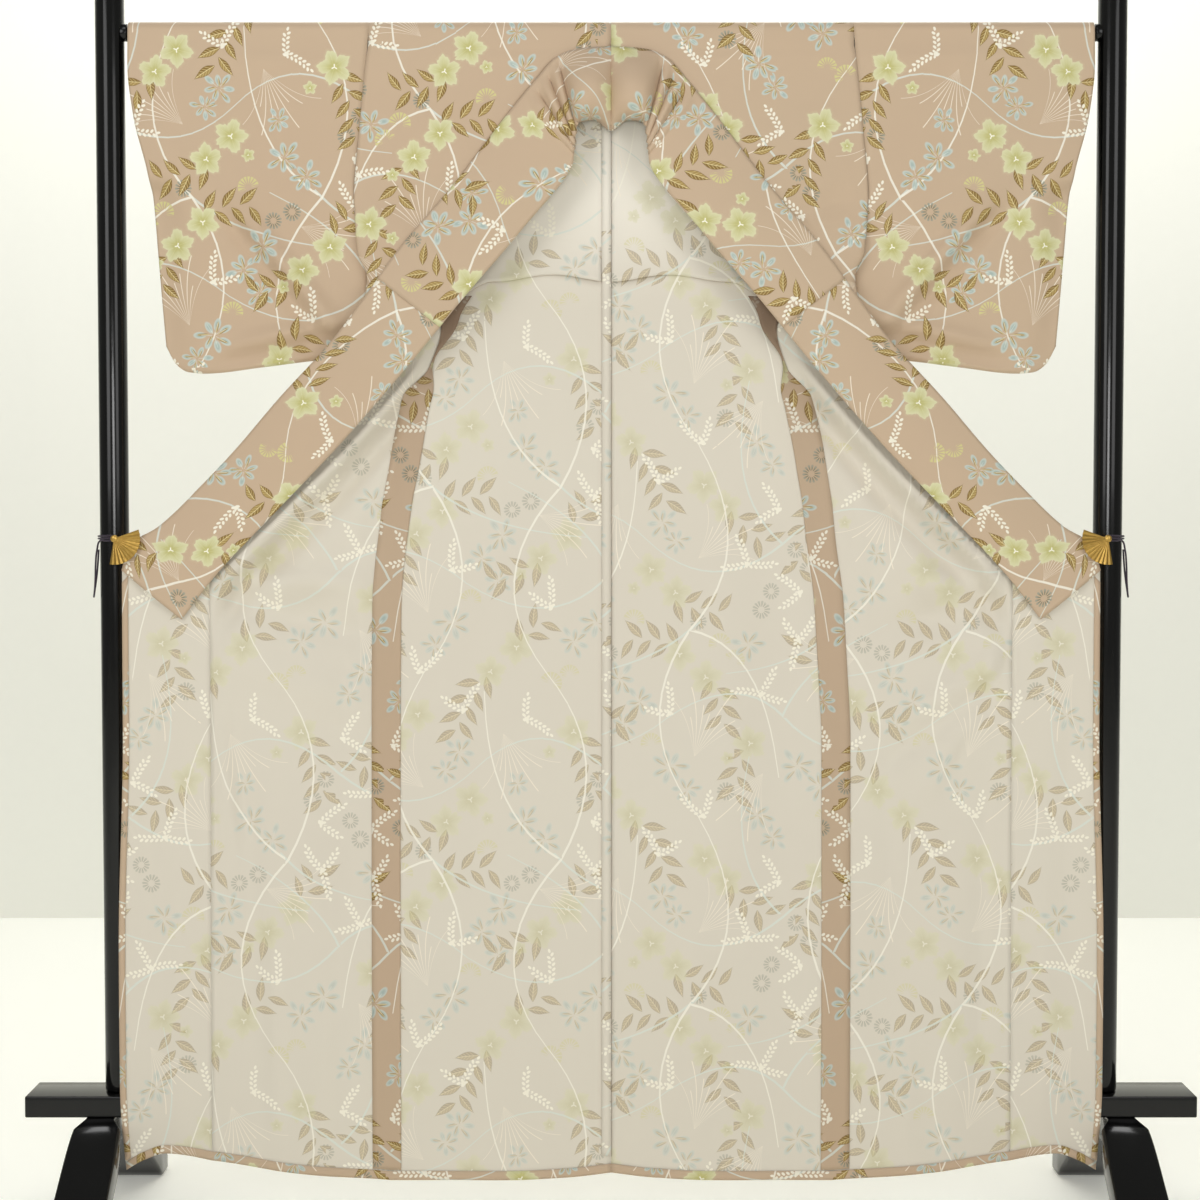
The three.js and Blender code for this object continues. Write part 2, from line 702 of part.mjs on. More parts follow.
function post() {
  const rim = 3;
  const profile = [
    [0, BEAM_TOP + SEAM_GAP],
    [POST_RADIUS, BEAM_TOP + SEAM_GAP],
    [POST_RADIUS, POST_TOP - rim],
    [POST_RADIUS - rim, POST_TOP],
    [0, POST_TOP],
  ].map(([r, z]) => new THREE.Vector2(r, z));
  return new THREE.LatheGeometry(profile, 32).rotateX(Math.PI / 2).translate(POST_X, 0, 0);
}

function hangingRod() {
  const end = POST_X - POST_RADIUS - 1;
  const profile = [
    [0, -end],
    [ROD_END_RADIUS, -end],
    [ROD_END_RADIUS, -ROD_THICK_HALF],
    [ROD_RADIUS, -ROD_THICK_HALF],
    [ROD_RADIUS, ROD_THICK_HALF],
    [ROD_END_RADIUS, ROD_THICK_HALF],
    [ROD_END_RADIUS, end],
    [0, end],
  ].map(([r, x]) => new THREE.Vector2(r, x));
  return new THREE.LatheGeometry(profile, 28).rotateZ(-Math.PI / 2).translate(0, 0, ROD_Z);
}

// A short socket on the post that takes the rod's thin end.
function rodBracket() {
  const surface = POST_X - POST_RADIUS;
  const block = rodAlongX(BRACKET_RADIUS, surface - 5, surface + BRACKET_LENGTH, ROD_Z);
  const bore = rodAlongX(ROD_END_RADIUS + SEAM_GAP, surface - 40, surface - 0.6, ROD_Z);
  const postClear = new THREE.CylinderGeometry(
    POST_RADIUS + SEAM_GAP,
    POST_RADIUS + SEAM_GAP,
    80,
    32,
  );
  postClear.rotateX(Math.PI / 2).translate(POST_X, 0, ROD_Z);
  return fromSolid(solidOf(block).subtract(solidOf(bore)).subtract(solidOf(postClear)));
}

function baseBeam() {
  const [halfDepth, halfHeight] = [BEAM_DEPTH / 2, BEAM_HEIGHT / 2];
  const outline = new THREE.Shape();
  const c = BEAM_CHAMFER;
  outline.moveTo(-halfHeight + c, -halfDepth);
  outline.lineTo(halfHeight - c, -halfDepth);
  outline.lineTo(halfHeight, -halfDepth + c);
  outline.lineTo(halfHeight, halfDepth - c);
  outline.lineTo(halfHeight - c, halfDepth);
  outline.lineTo(-halfHeight + c, halfDepth);
  outline.lineTo(-halfHeight, halfDepth - c);
  outline.lineTo(-halfHeight, -halfDepth + c);
  const beam = new THREE.ExtrudeGeometry(outline, { depth: BEAM_LENGTH, bevelEnabled: false });
  beam.translate(0, 0, -BEAM_LENGTH / 2).rotateY(Math.PI / 2);
  return beam.translate(0, 0, BEAM_TOP - halfHeight);
}

// A bridge-shaped foot, as chamfered sections lofted from toe to toe.
function foot() {
  const sections = [
    ...FOOT_SECTIONS.slice(1).toReversed().map((row) => ({ ...row, y: -row.y })),
    ...FOOT_SECTIONS,
  ];
  const c = FOOT_CHAMFER;
  const rings = sections.map(({ y, width, top, bottom }) => {
    const half = width / 2;
    return [
      [-half + 1, bottom],
      [half - 1, bottom],
      [half, bottom + 1],
      [half, top - c],
      [half - c, top],
      [-half + c, top],
      [-half, top - c],
      [-half, bottom + 1],
    ].map(([x, z]) => new THREE.Vector3(FOOT_X + x, y, z));
  });
  const around = rings[0].length;
  const index = [];
  for (let i = 0; i + 1 < rings.length; i++)
    for (let j = 0; j < around; j++) {
      const [a, b] = [i * around + j, i * around + ((j + 1) % around)];
      index.push(a, b, b + around, a, b + around, a + around);
    }
  const last = (rings.length - 1) * around;
  for (let j = 1; j + 1 < around; j++) {
    index.push(0, j + 1, j);
    index.push(last, last + j, last + j + 1);
  }
  return geometryOf(rings.flat(), index.toReversed());
}

// Clip: a ribbed fan in front of the cloth, a jaw behind it, and the barrel that joins them

const FAN = { from: 160, to: 278, forward: 41.5, thickness: 2.4, rootRadius: 5, scallop: 1.8 };
const JAW = { forward: 27, thickness: 2.4 };
const BARREL = { radius: 3.2, back: 22.6 };

function clip() {
  const fan = new THREE.Shape();
  const polar = (radius, degrees) => {
    const angle = THREE.MathUtils.degToRad(degrees);
    return [radius * Math.cos(angle), radius * Math.sin(angle)];
  };
  fan.moveTo(...polar(FAN.rootRadius, FAN.from - 50));
  for (let i = 0; i <= CLIP_RIBS * 2; i++) {
    const radius = CLIP_RADIUS - (i % 2 ? 0 : FAN.scallop);
    fan.lineTo(...polar(radius, mix(FAN.from, FAN.to, i / (CLIP_RIBS * 2))));
  }
  fan.lineTo(...polar(FAN.rootRadius, FAN.to + 50));
  fan.lineTo(...polar(FAN.rootRadius, FAN.to + 120));
  const jaw = new THREE.Shape();
  jaw.moveTo(-3, 6);
  jaw.lineTo(-24, -24);
  jaw.lineTo(-14, -32);
  jaw.lineTo(5, -3);
  const plate = (shape, thickness, forward) =>
    new THREE.ExtrudeGeometry(shape, { depth: thickness, bevelEnabled: false })
      .rotateX(Math.PI / 2)
      .translate(0, -forward, 0);
  const reach = FAN.forward + FAN.thickness - BARREL.back;
  const barrel = new THREE.CylinderGeometry(BARREL.radius, BARREL.radius, reach, 16);
  barrel.translate(0, -BARREL.back - reach / 2, 0);
  const solid = solidOf(plate(fan, FAN.thickness, FAN.forward))
    .add(solidOf(plate(jaw, JAW.thickness, JAW.forward)))
    .add(solidOf(barrel));
  return fromSolid(solid).translate(CLIP_ROOT_X, 0, CLIP_ROOT_Z);
}

// The clip's cord: round the post, then a hanging loop on its outer side.
function clipCordPoints() {
  const radius = POST_RADIUS + CORD_RADIUS + CORD_CLEARANCE;
  const { startDegrees, turns, pointsPerTurn, pitch } = CORD_WRAP;
  const wrapPoints = steps(Math.round(turns * pointsPerTurn)).map((t) => {
    const angle = THREE.MathUtils.degToRad(startDegrees + 360 * turns * t);
    return new THREE.Vector3(
      POST_X + radius * Math.cos(angle),
      radius * Math.sin(angle),
      CLIP_ROOT_Z + pitch * (turns / 2 - turns * t),
    );
  });
  const last = wrapPoints.at(-1);
  const loop = CORD_LOOP.map(
    ({ out, forward, drop }) =>
      new THREE.Vector3(POST_X + radius + out, -forward, last.z - drop),
  );
  return [...wrapPoints.slice(0, -1), ...loop];
}

function clipCord() {
  const path = new THREE.CatmullRomCurve3(clipCordPoints());
  const section = new THREE.Shape();
  section.absarc(0, 0, CORD_RADIUS, 0, 2 * Math.PI, false);
  const stepLength = 6 * CORD_RADIUS;
  return new THREE.ExtrudeGeometry(section, {
    extrudePath: path,
    steps: Math.round(path.getLength() / stepLength),
    curveSegments: 4,
    bevelEnabled: false,
  });
}

// Build

const CLOTH_LOOK = { color: 0xc9a892, roughness: 0.72, metalness: 0 };
const INSIDE_LOOK = { color: 0xdccdbb, roughness: 0.78, metalness: 0 };
const LACQUER = { color: 0x0b0a0a, roughness: 0.16, metalness: 0 };
const GILT = { color: 0xb9924a, roughness: 0.34, metalness: 1 };
const CORD_LOOK = { color: 0x2a1c2c, roughness: 0.8, metalness: 0 };

const root = new THREE.Group();

function add(name, geometry, look) {
  const mesh = new THREE.Mesh(geometry, new THREE.MeshStandardMaterial(look));
  mesh.name = name;
  root.add(mesh);
}

for (const side of ["left", "right"]) {
  const cloth = (name, geometry, look = CLOTH_LOOK) =>
    add(`${name}_${side}`, forSide(side, geometry), look);
  const strip = { lift: -LAYER };
  cloth("back", wall(backRows(side)), INSIDE_LOOK);
  cloth("front", wall(frontRows(side)));
  cloth("okumi", wall(okumiGrid(side)), INSIDE_LOOK);
  cloth("sleeve", wall(SLEEVE_SHARES.map(sleeveRing), { ring: true }));
  cloth("collar", collarWall(COLLAR_END, 0));
  cloth("over_collar", collarWall(OVER_COLLAR_END, LAYER));
  cloth("waist_tuck", wall(tuckRows(side), { lift: -LAYER - LOOSE }), INSIDE_LOOK);
  cloth("side_seam_strip", wall(sideStripRows(side), { lift: -LAYER - LOOSE }));
  cloth("front_edge", wall(frontEdgeRows(side), strip));
  cloth("hem", wall(hemRows(side), { lift: -LAYER - SEAM_GAP }));
  add(`post_${side}`, forSide(side, post()), LACQUER);
  add(`rod_bracket_${side}`, forSide(side, rodBracket()), LACQUER);
  add(`foot_${side}`, forSide(side, foot()), LACQUER);
  add(`clip_${side}`, forSide(side, clip()), GILT);
  add(`clip_cord_${side}`, forSide(side, clipCord()), CORD_LOOK);
}
add("centre_seam_strip", wall(centreStripRows(), { lift: -LAYER }), INSIDE_LOOK);
add("hanging_rod", hangingRod(), LACQUER);
add("base_beam", baseBeam(), LACQUER);

export default root;
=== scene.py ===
import math

import bmesh
import bpy
import numpy as np
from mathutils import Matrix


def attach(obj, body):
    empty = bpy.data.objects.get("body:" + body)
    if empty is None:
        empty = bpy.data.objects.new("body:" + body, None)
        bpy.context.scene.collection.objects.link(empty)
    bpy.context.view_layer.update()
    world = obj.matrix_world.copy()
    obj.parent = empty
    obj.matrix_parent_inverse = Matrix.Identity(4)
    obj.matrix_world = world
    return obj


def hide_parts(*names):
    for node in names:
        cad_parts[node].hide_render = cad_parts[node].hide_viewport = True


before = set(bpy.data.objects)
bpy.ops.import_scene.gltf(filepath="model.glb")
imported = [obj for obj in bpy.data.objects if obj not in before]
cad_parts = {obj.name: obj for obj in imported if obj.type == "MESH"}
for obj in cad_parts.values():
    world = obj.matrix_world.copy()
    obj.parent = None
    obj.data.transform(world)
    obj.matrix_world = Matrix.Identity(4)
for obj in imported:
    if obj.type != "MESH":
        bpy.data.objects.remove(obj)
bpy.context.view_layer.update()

# A komon kimono hung open on a black lacquered stand. Tables and sizes are in millimetres, for the
# viewer's right-hand side, and are mirrored for the left. "Forward" is distance towards the viewer.

MM = 0.001
SIDES = {"left": -1, "right": 1}

# Camera

CAMERA_DISTANCE = 2900
CAMERA_HEIGHT = 1003
CAMERA_PITCH = 2.4
CAMERA_X = -15.4
CAMERA_LENS = 62.1
CAMERA_SENSOR = 36
# How far the camera sees, in metres.
VIEW_END = 50


def add_camera():
    data = bpy.data.cameras.new("camera")
    data.lens = CAMERA_LENS
    data.sensor_width = CAMERA_SENSOR
    data.clip_end = VIEW_END
    camera = bpy.data.objects.new("camera", data)
    camera.location = (CAMERA_X * MM, -CAMERA_DISTANCE * MM, CAMERA_HEIGHT * MM)
    camera.rotation_euler = (math.radians(90 - CAMERA_PITCH), 0, 0)
    bpy.context.collection.objects.link(camera)
    bpy.context.scene.camera = camera


add_camera()


# Tables and maths

class Table:
    """Rows of named columns, read as smooth lines that never overshoot their rows."""

    def __init__(self, names, *rows):
        self.names = names.split()
        self.key = self.names[0]
        self.columns = {n: np.array(c, float) for n, c in zip(self.names, zip(*rows))}
        for name in self.names:
            setattr(self, name, self._reader(name))

    def _reader(self, column):
        return lambda at: self.read(column, at)

    def last(self, column):
        return self.columns[column][-1]

    def rows(self):
        return [dict(zip(self.names, row)) for row in zip(*self.columns.values())]

    def read(self, column, at):
        x, y = self.columns[self.key], self.columns[column]
        slope = np.diff(y) / np.diff(x)
        before, after = slope[:-1], slope[1:]
        same = before * after > 0
        middle = np.where(same, 2 * before * after / np.where(same, before + after, 1), 0)
        tangent = np.concatenate([slope[:1], middle, slope[-1:]])
        at = np.clip(at, x[0], x[-1])
        i = np.clip(np.searchsorted(x, at, side="right") - 1, 0, len(x) - 2)
        span = x[i + 1] - x[i]
        t = (at - x[i]) / span
        return (
            y[i] * (1 - t) ** 2 * (1 + 2 * t)
            + tangent[i] * span * t * (1 - t) ** 2
            + y[i + 1] * t * t * (3 - 2 * t)
            - tangent[i + 1] * span * t * t * (1 - t)
        )


def mix(a, b, t):
    return a + (b - a) * t


def ease(start, end, at):
    t = np.clip((at - start) / (end - start), 0, 1)
    return t * t * (3 - 2 * t)


def points(x, y, z):
    return np.stack(np.broadcast_arrays(x, y, z), axis=-1).astype(float)


# Sizes shared with the frame's solids

POST_X = 695
POST_RADIUS = 20
POST_TOP = 1750
BEAM_TOP = 188
ROD_Z = 1668.5
ROD_RADIUS = 12
ROD_END_RADIUS = 7
ROD_THICK_HALF = 640
FOOT_X = 715
CLOTH = 0.9
WRAP_RADIUS = ROD_RADIUS + 1.6
# How far the middle of one layer of cloth lies from the middle of the next.
LAYER = 1.9
# A body panel's width along the rod.
SHOULDER = 335

SEAM_LINE = Table(
    "run x z forward",
    (0, 0, 1645, 14.5), (48, 46, 1641, 15), (78, 74, 1631, 16), (120, 103, 1600, 18),
    (178, 140, 1555, 21), (303, 216, 1456, 25), (417, 290, 1369, 29), (500, 339, 1302, 31),
    (579, 387, 1239, 31), (684, 458, 1162, 31), (779, 520, 1090, 31), (831, 556, 1052, 31),
    (929, 627, 984, 31), (978, 668, 958, 31), (1014, 678, 924, 31),
)
FREE_EDGE = Table(
    "run x z forward",
    (0, 0, 1529, 27), (30, 24, 1545, 30), (60, 46, 1540, 32), (95, 50, 1517, 31),
    (178, 52, 1487, 30), (303, 126, 1389, 34), (417, 204, 1298, 37), (500, 253, 1238, 38),
    (579, 301, 1181, 38), (684, 375, 1097, 38), (779, 437, 1032, 38), (831, 474, 994, 38),
    (929, 548, 916, 37), (1014, 595, 856, 36),
)
OVER_COLLAR_END = 471
OKUMI_TOP = {"run": 831, "x": 556, "z": 1052}

# Where each slanted row of the front turns back, and where its side edge lies.
FRONT_ROWS = Table(
    "run fold_x fold_z fold_f edge_x edge_z edge_f",
    (0, 335, 1650, 14, 335, 1650, 14), (48, 338, 1632, 14, 338, 1632, 14),
    (120, 343, 1588, 14, 343, 1588, 14), (178, 347, 1546, 14, 347, 1546, 14),
    (303, 356, 1436, 15, 356, 1436, 15), (360, 354, 1396, 19, 342, 1400, 14),
    (417, 351, 1362, 22, 322, 1368, 12), (460, 338, 1331, 26, 292, 1332, 9),
    (500, 339, 1302, 31, 262, 1302, 6), (579, 387, 1239, 31, 236, 1258, 4),
    (640, 428, 1195, 31, 252, 1203, 3), (684, 458, 1162, 31, 267, 1150, 2),
    (779, 520, 1090, 31, 284, 1062, 2), (831, 556, 1052, 31, 294, 1010, 3),
)
ARMHOLE_RUN = 303
TURN_END_RUN = 500
SIDE_SEAM = Table(
    "z x forward",
    (60, 308, 42), (200, 308, 42), (700, 309, 16), (870, 308, 8), (1010, 294, 3),
)
OKUMI_SEAM = Table(
    "z x forward",
    (80, 557, 45), (200, 557, 44), (700, 557, 31), (900, 557, 30), (1052, 556, 31),
)
FRONT_EDGE = Table(
    "z x forward",
    (86, 676, 48), (200, 684, 46), (400, 685, 41), (700, 678, 34), (924, 678, 31),
)
HEM = Table(
    "x z",
    (0, 83), (60, 76), (158, 72), (312, 72), (440, 82), (538, 97), (620, 111), (650, 102),
    (676, 88),
)
HEM_SIDE = 308
HEM_OKUMI = 557
BACK_EDGE = Table(
    "z x back",
    (60, 308, -42), (200, 308, -42), (700, 309, -16), (870, 308, -8), (1010, 294, -3),
    (1062, 284, -2), (1150, 267, -2), (1203, 252, -1), (1250, 262, 3), (1302, 300, 8),
    (1368, 338, 14), (1436, 356, 14), (1546, 347, 14), (1668.5, 335, 13.3),
)
BACK_MIDDLE = Table("z back", (60, -43), (200, -43), (1000, -1), (1330, 14))
BACK_TOP = ROD_Z - 10

SLEEVE_INNER = Table(
    "z x", (1200, 340), (1306, 340), (1380, 353), (1436, 356), (1546, 347), (1668.5, 335),
    (1690, 334),
)
SLEEVE_OUTER = Table(
    "z x", (1200, 617), (1270, 623), (1361, 630), (1438, 636), (1472, 641), (1550, 660),
    (1622, 668), (1690, 667),
)
SLEEVE_BOTTOM = Table(
    "share z", (0, 1220), (0.25, 1216), (0.52, 1207), (0.82, 1198), (0.9, 1200), (0.96, 1211),
    (1, 1236),
)
SLEEVE_HALF_DEPTH = Table("z half", (1190, 8.5), (1380, 9), (1436, 13), (1600, 13.3))
CUFF_END_Z = 1456
SEWN_HALF_DEPTH = 1.0

# Folds: soft ridges (positive) and troughs (negative) along a line from a to b.

FOLD_NAMES = "ax az bx bz width height"
FRONT_FOLDS = {
    "left": Table(
        FOLD_NAMES,
        (552, 860, 540, 650, 22, 5), (470, 960, 400, 860, 34, -6), (430, 620, 425, 150, 40, 5),
        (505, 700, 500, 300, 16, -3), (370, 800, 378, 300, 20, -3), (350, 1020, 360, 700, 14, 3),
        (400, 1060, 520, 960, 16, 4), (470, 420, 466, 120, 12, 3),
        (560, 915, 350, 905, 18, 9), (540, 880, 340, 835, 24, -10), (520, 800, 360, 740, 28, 6),
        (556, 760, 530, 560, 15, 7), (536, 740, 512, 560, 13, -6), (400, 300, 404, 110, 18, 4),
    ),
    "right": Table(
        FOLD_NAMES,
        (590, 850, 400, 630, 24, 6), (500, 900, 430, 850, 34, -6), (455, 560, 470, 130, 42, 5),
        (520, 620, 512, 200, 15, -3), (385, 700, 390, 260, 20, -3), (345, 1030, 352, 760, 14, 3),
        (410, 1040, 530, 930, 15, 4), (540, 760, 470, 640, 12, -4),
        (585, 905, 420, 912, 18, 9), (560, 870, 400, 850, 24, -10), (560, 820, 380, 700, 18, 7),
        (548, 780, 396, 660, 15, -7), (520, 720, 420, 600, 20, 6), (410, 340, 412, 120, 18, 4),
    ),
}
OKUMI_FOLDS = {
    "left": Table(
        FOLD_NAMES,
        (592, 840, 578, 700, 14, 4), (630, 800, 640, 480, 18, -3), (600, 520, 604, 160, 18, 3),
    ),
    "right": Table(
        FOLD_NAMES,
        (596, 860, 575, 800, 15, 4), (640, 760, 632, 420, 18, -3), (606, 460, 600, 150, 18, 3),
    ),
}
BACK_FOLDS = {
    "left": Table(
        FOLD_NAMES,
        (150, 1150, 175, 500, 45, 5), (235, 1000, 240, 160, 38, -4), (70, 1280, 60, 700, 26, 3),
        (110, 560, 118, 120, 22, 3), (200, 1200, 262, 1060, 16, 4),
    ),
    "right": Table(
        FOLD_NAMES,
        (165, 1080, 150, 420, 50, 5), (230, 950, 245, 130, 36, -4), (80, 1240, 70, 640, 26, 3),
        (120, 480, 110, 110, 22, 3), (205, 1190, 258, 1050, 16, 4),
    ),
}
SLEEVE_FOLDS = {
    "left": Table(
        FOLD_NAMES,
        (528, 1404, 398, 1240, 9, -13), (512, 1422, 384, 1264, 12, 14),
        (540, 1212, 380, 1248, 11, -12), (520, 1236, 370, 1272, 13, 9),
        (600, 1640, 360, 1620, 14, 3), (640, 1600, 600, 1420, 26, 4), (610, 1380, 600, 1240, 20, 4),
    ),
    "right": Table(
        FOLD_NAMES,
        (535, 1412, 396, 1252, 9, -13), (520, 1432, 384, 1278, 12, 14),
        (545, 1214, 380, 1250, 11, -12), (520, 1238, 370, 1274, 13, 9),
        (590, 1635, 350, 1630, 14, 3), (636, 1590, 606, 1430, 26, 4), (612, 1400, 600, 1250, 20, 4),
    ),
}
UPPER_FOLDS = {
    "left": Table(
        FOLD_NAMES,
        (310, 1655, 90, 1626, 12, 2.5), (330, 1450, 250, 1400, 16, -4),
        (300, 1560, 200, 1500, 26, 3),
    ),
    "right": Table(
        FOLD_NAMES,
        (320, 1645, 110, 1632, 12, 2.5), (325, 1440, 250, 1405, 16, -4),
        (290, 1550, 205, 1500, 26, 3),
    ),
}


def fold_height(folds, x, z):
    """Height of all the folds that pass near a place, fading at their ends."""
    height = np.zeros(np.broadcast(x, z).shape)
    for fold in folds.rows():
        dx, dz = fold["bx"] - fold["ax"], fold["bz"] - fold["az"]
        length = math.hypot(dx, dz)
        share = ((x - fold["ax"]) * dx + (z - fold["az"]) * dz) / length**2
        off = ((x - fold["ax"]) * dz - (z - fold["az"]) * dx) / length
        fade = ease(-0.25, 0.25, share) * ease(1.25, 0.75, share)
        height += fold["height"] * fade * np.exp(-((off / fold["width"]) ** 2))
    return height


def bumps(table, at):
    """The sum of soft bumps, whose rows give place, width and height."""
    rows = zip(*table.columns.values())
    return sum(height * np.exp(-(((at - place) / width) ** 2)) for place, width, height in rows)


# Beside the collar the hanging cloth makes a roll, and then a hollow in its shade.
ROLL = Table("below width height", (14, 11, 14), (44, 20, -18), (88, 30, 5))
ROLL_STARTS = (240, 290)
ROLL_ENDS = (640, 560)
COLLAR_COVERS = (-3, 9)
FREE_EDGE_BY_X = Table(
    "x z", *[(row["x"], row["z"]) for row in FREE_EDGE.rows() if row["x"] > 51]
)
# The collar's edge is slanted: this share of a height below it is the distance from it.
FROM_EDGE = 0.78


def hanging_height(folds, x, z):
    """Folds and roll of the cloth that hangs from the collar, flat where the collar covers it."""
    below = (FREE_EDGE_BY_X.z(x) - z) * FROM_EDGE
    roll = bumps(ROLL, below) * ease(*ROLL_STARTS, x) * ease(*ROLL_ENDS, x)
    return (fold_height(folds, x, z) + roll) * ease(*COLLAR_COVERS, below)


# Grids of points for each cloth piece

FRONT_COLUMNS = 36
ROD_ROWS = 4
# Rows lie closer together beside the neck, where the cloth bends most.
NECK_RUNS = np.linspace(0, 120, 22)
SLANTED_RUNS = np.linspace(126, OKUMI_TOP["run"], 100)
HANGING_SHARES = np.linspace(0, 1, 125)
BACK_SHARES = np.linspace(0, 1, 210)


def spaced(path, count):
    """Evenly spaced points along a polyline."""
    path = np.array(path, float)
    along = np.concatenate([[0], np.cumsum(np.linalg.norm(np.diff(path, axis=0), axis=1))])
    at = np.linspace(0, along[-1], count + 1)
    return np.stack([np.interp(at, along, path[:, k]) for k in range(3)], axis=-1)


RIGHT_SEAM_LEAN = Table(
    "z x", (700, 0), (881, -9), (951, -12), (1040, -10), (1087, -9), (1160, -11), (1200, -9),
    (1260, -6), (1340, 0),
)


def seam_lean(side, z):
    """The right side seam hangs further in than the left one below the collar."""
    return RIGHT_SEAM_LEAN.x(z) * (side == "right")


FOLD_FREE_EDGE = 0.15


def between_edges(row, height):
    """Push a row of points forward by its folds, which fade towards both of its ends."""
    share = np.linspace(0, 1, len(row))
    inner = ease(0, FOLD_FREE_EDGE, share) * ease(1, 1 - FOLD_FREE_EDGE, share)
    row[:, 1] -= height * inner
    return row


def slanted_places(run, side):
    """Where a slanted row starts under the collar, where it turns back and where it ends."""
    seam = np.array([SEAM_LINE.x(run), -SEAM_LINE.forward(run), SEAM_LINE.z(run)])
    fold = np.array([FRONT_ROWS.fold_x(run), -FRONT_ROWS.fold_f(run), FRONT_ROWS.fold_z(run)])
    edge = np.array([FRONT_ROWS.edge_x(run), -FRONT_ROWS.edge_f(run), FRONT_ROWS.edge_z(run)])
    edge[0] += seam_lean(side, edge[2])
    return seam, fold, edge


TURN_ANGLES = np.linspace(0, math.pi, 7)
TURN_PULL = 7
TURN_GROWS = 60
TURN_LEAST = 12


def turned_back(seam, fold, edge, run):
    """The half circle on which a row turns back behind itself."""
    size = min(1, (run - ARMHOLE_RUN) / TURN_GROWS)
    depth = edge[1] - fold[1]
    inward = (seam - fold) * [1, 0, 1]
    inward *= TURN_PULL * size / max(np.linalg.norm(inward), 1)
    if np.linalg.norm((seam - fold)[[0, 2]]) <= TURN_LEAST:
        inward = inward * 0
    return [
        fold + inward * (1 - math.sin(a)) + np.array([0, depth * (1 - math.cos(a)) / 2, 0])
        for a in TURN_ANGLES
    ]


# Along the collar, the folds of the upper front fade in and out, and the hanging ones fade in.
UPPER_FOLDS_START = (10, 120)
UPPER_FOLDS_END = (420, 380)
HANGING_FOLDS_START = (TURN_END_RUN, 560)


def slanted_row(run, side):
    seam, fold, edge = slanted_places(run, side)
    turn = turned_back(seam, fold, edge, run) if ARMHOLE_RUN < run < TURN_END_RUN else []
    row = spaced([seam, *turn, edge], FRONT_COLUMNS)
    if run < TURN_END_RUN:
        height = fold_height(UPPER_FOLDS[side], row[:, 0], row[:, 2])
        height = height * ease(*UPPER_FOLDS_START, run) * ease(*UPPER_FOLDS_END, run)
        return between_edges(row, height)
    height = hanging_height(FRONT_FOLDS[side], row[:, 0], row[:, 2])
    return between_edges(row, height * ease(*HANGING_FOLDS_START, run))


def hanging_row(v, side):
    side_z = mix(FRONT_ROWS.last("edge_z"), HEM.z(HEM_SIDE), v)
    seam_z = mix(OKUMI_TOP["z"], HEM.z(HEM_OKUMI), v)
    start = (OKUMI_SEAM.x(seam_z), -OKUMI_SEAM.forward(seam_z), seam_z)
    end_x = SIDE_SEAM.x(side_z) + seam_lean(side, side_z)
    end = (end_x, -SIDE_SEAM.forward(side_z), side_z)
    row = spaced([start, end], FRONT_COLUMNS)
    share = np.linspace(0, 1, len(row))
    straight_hem = mix(HEM.z(HEM_OKUMI), HEM.z(HEM_SIDE), share)
    row[:, 2] += (HEM.z(row[:, 0]) - straight_hem) * np.sin(np.pi * share) * v**4
    return between_edges(row, hanging_height(FRONT_FOLDS[side], row[:, 0], row[:, 2]))


def rod_rows(turn):
    """A quarter turn round the rod, towards the front (-1) or the back (1)."""
    angles = np.linspace(0, math.pi / 2, ROD_ROWS + 1)[:, None]
    x = np.linspace(0, SHOULDER, FRONT_COLUMNS + 1)[None, :]
    return points(x, turn * WRAP_RADIUS * np.sin(angles), ROD_Z + WRAP_RADIUS * np.cos(angles))


def front_grid(side):
    slanted = np.array([slanted_row(run, side) for run in [*NECK_RUNS, *SLANTED_RUNS]])
    hanging = np.array([hanging_row(v, side) for v in HANGING_SHARES[1:]])
    return np.concatenate([rod_rows(-1)[1:], slanted, hanging])


# The back is level near its middle, and leans towards its side seam over these shares.
BACK_LEAN = (0.35, 1.1)


def back_point(across, v, side):
    z = mix(BACK_TOP, HEM.z(HEM_SIDE * across), v)
    lean = ease(*BACK_LEAN, across) / ease(*BACK_LEAN, 1)
    y = mix(BACK_MIDDLE.back(z), BACK_EDGE.back(z), lean)
    x = across * (BACK_EDGE.x(z) + seam_lean(side, z))
    folds = fold_height(BACK_FOLDS[side], x, z) * np.sin(np.pi * across)
    return points(x, y - folds, z)


def back_grid(side):
    across = np.linspace(0, 1, FRONT_COLUMNS + 1)[None, :]
    return np.concatenate([rod_rows(1), back_point(across, BACK_SHARES[:, None], side)])


def body_grid(side):
    """One length of cloth: from the back hem, over the rod, to the front hem."""
    return np.concatenate([back_grid(side)[::-1], front_grid(side)])


OKUMI_COLUMNS = 19
OKUMI_ROWS = 120
# The overlap panel's slanted top runs out within this share of its height.
OKUMI_TOP_SHARE = 0.06


def okumi_point(across, v, side):
    top_x = mix(OKUMI_TOP["x"], SEAM_LINE.last("x"), across)
    top_z = mix(OKUMI_TOP["z"], SEAM_LINE.last("z"), across)
    z = mix(top_z, HEM.z(mix(HEM_OKUMI, HEM.last("x"), across)), v)
    hanging_x = mix(OKUMI_SEAM.x(z), FRONT_EDGE.x(z), across)
    x = mix(top_x, hanging_x, ease(0, OKUMI_TOP_SHARE, v))
    forward = mix(OKUMI_SEAM.forward(z), FRONT_EDGE.forward(z), across)
    folds = fold_height(OKUMI_FOLDS[side], x, z) * np.sin(np.pi * across)
    return points(x, -forward - folds, z)


def okumi_grid(side):
    across = np.linspace(0, 1, OKUMI_COLUMNS)[None, :]
    return okumi_point(across, np.linspace(0, 1, OKUMI_ROWS)[:, None], side)


# The collar: a wide band with two rolled lobes and small pleats at the back of the neck.

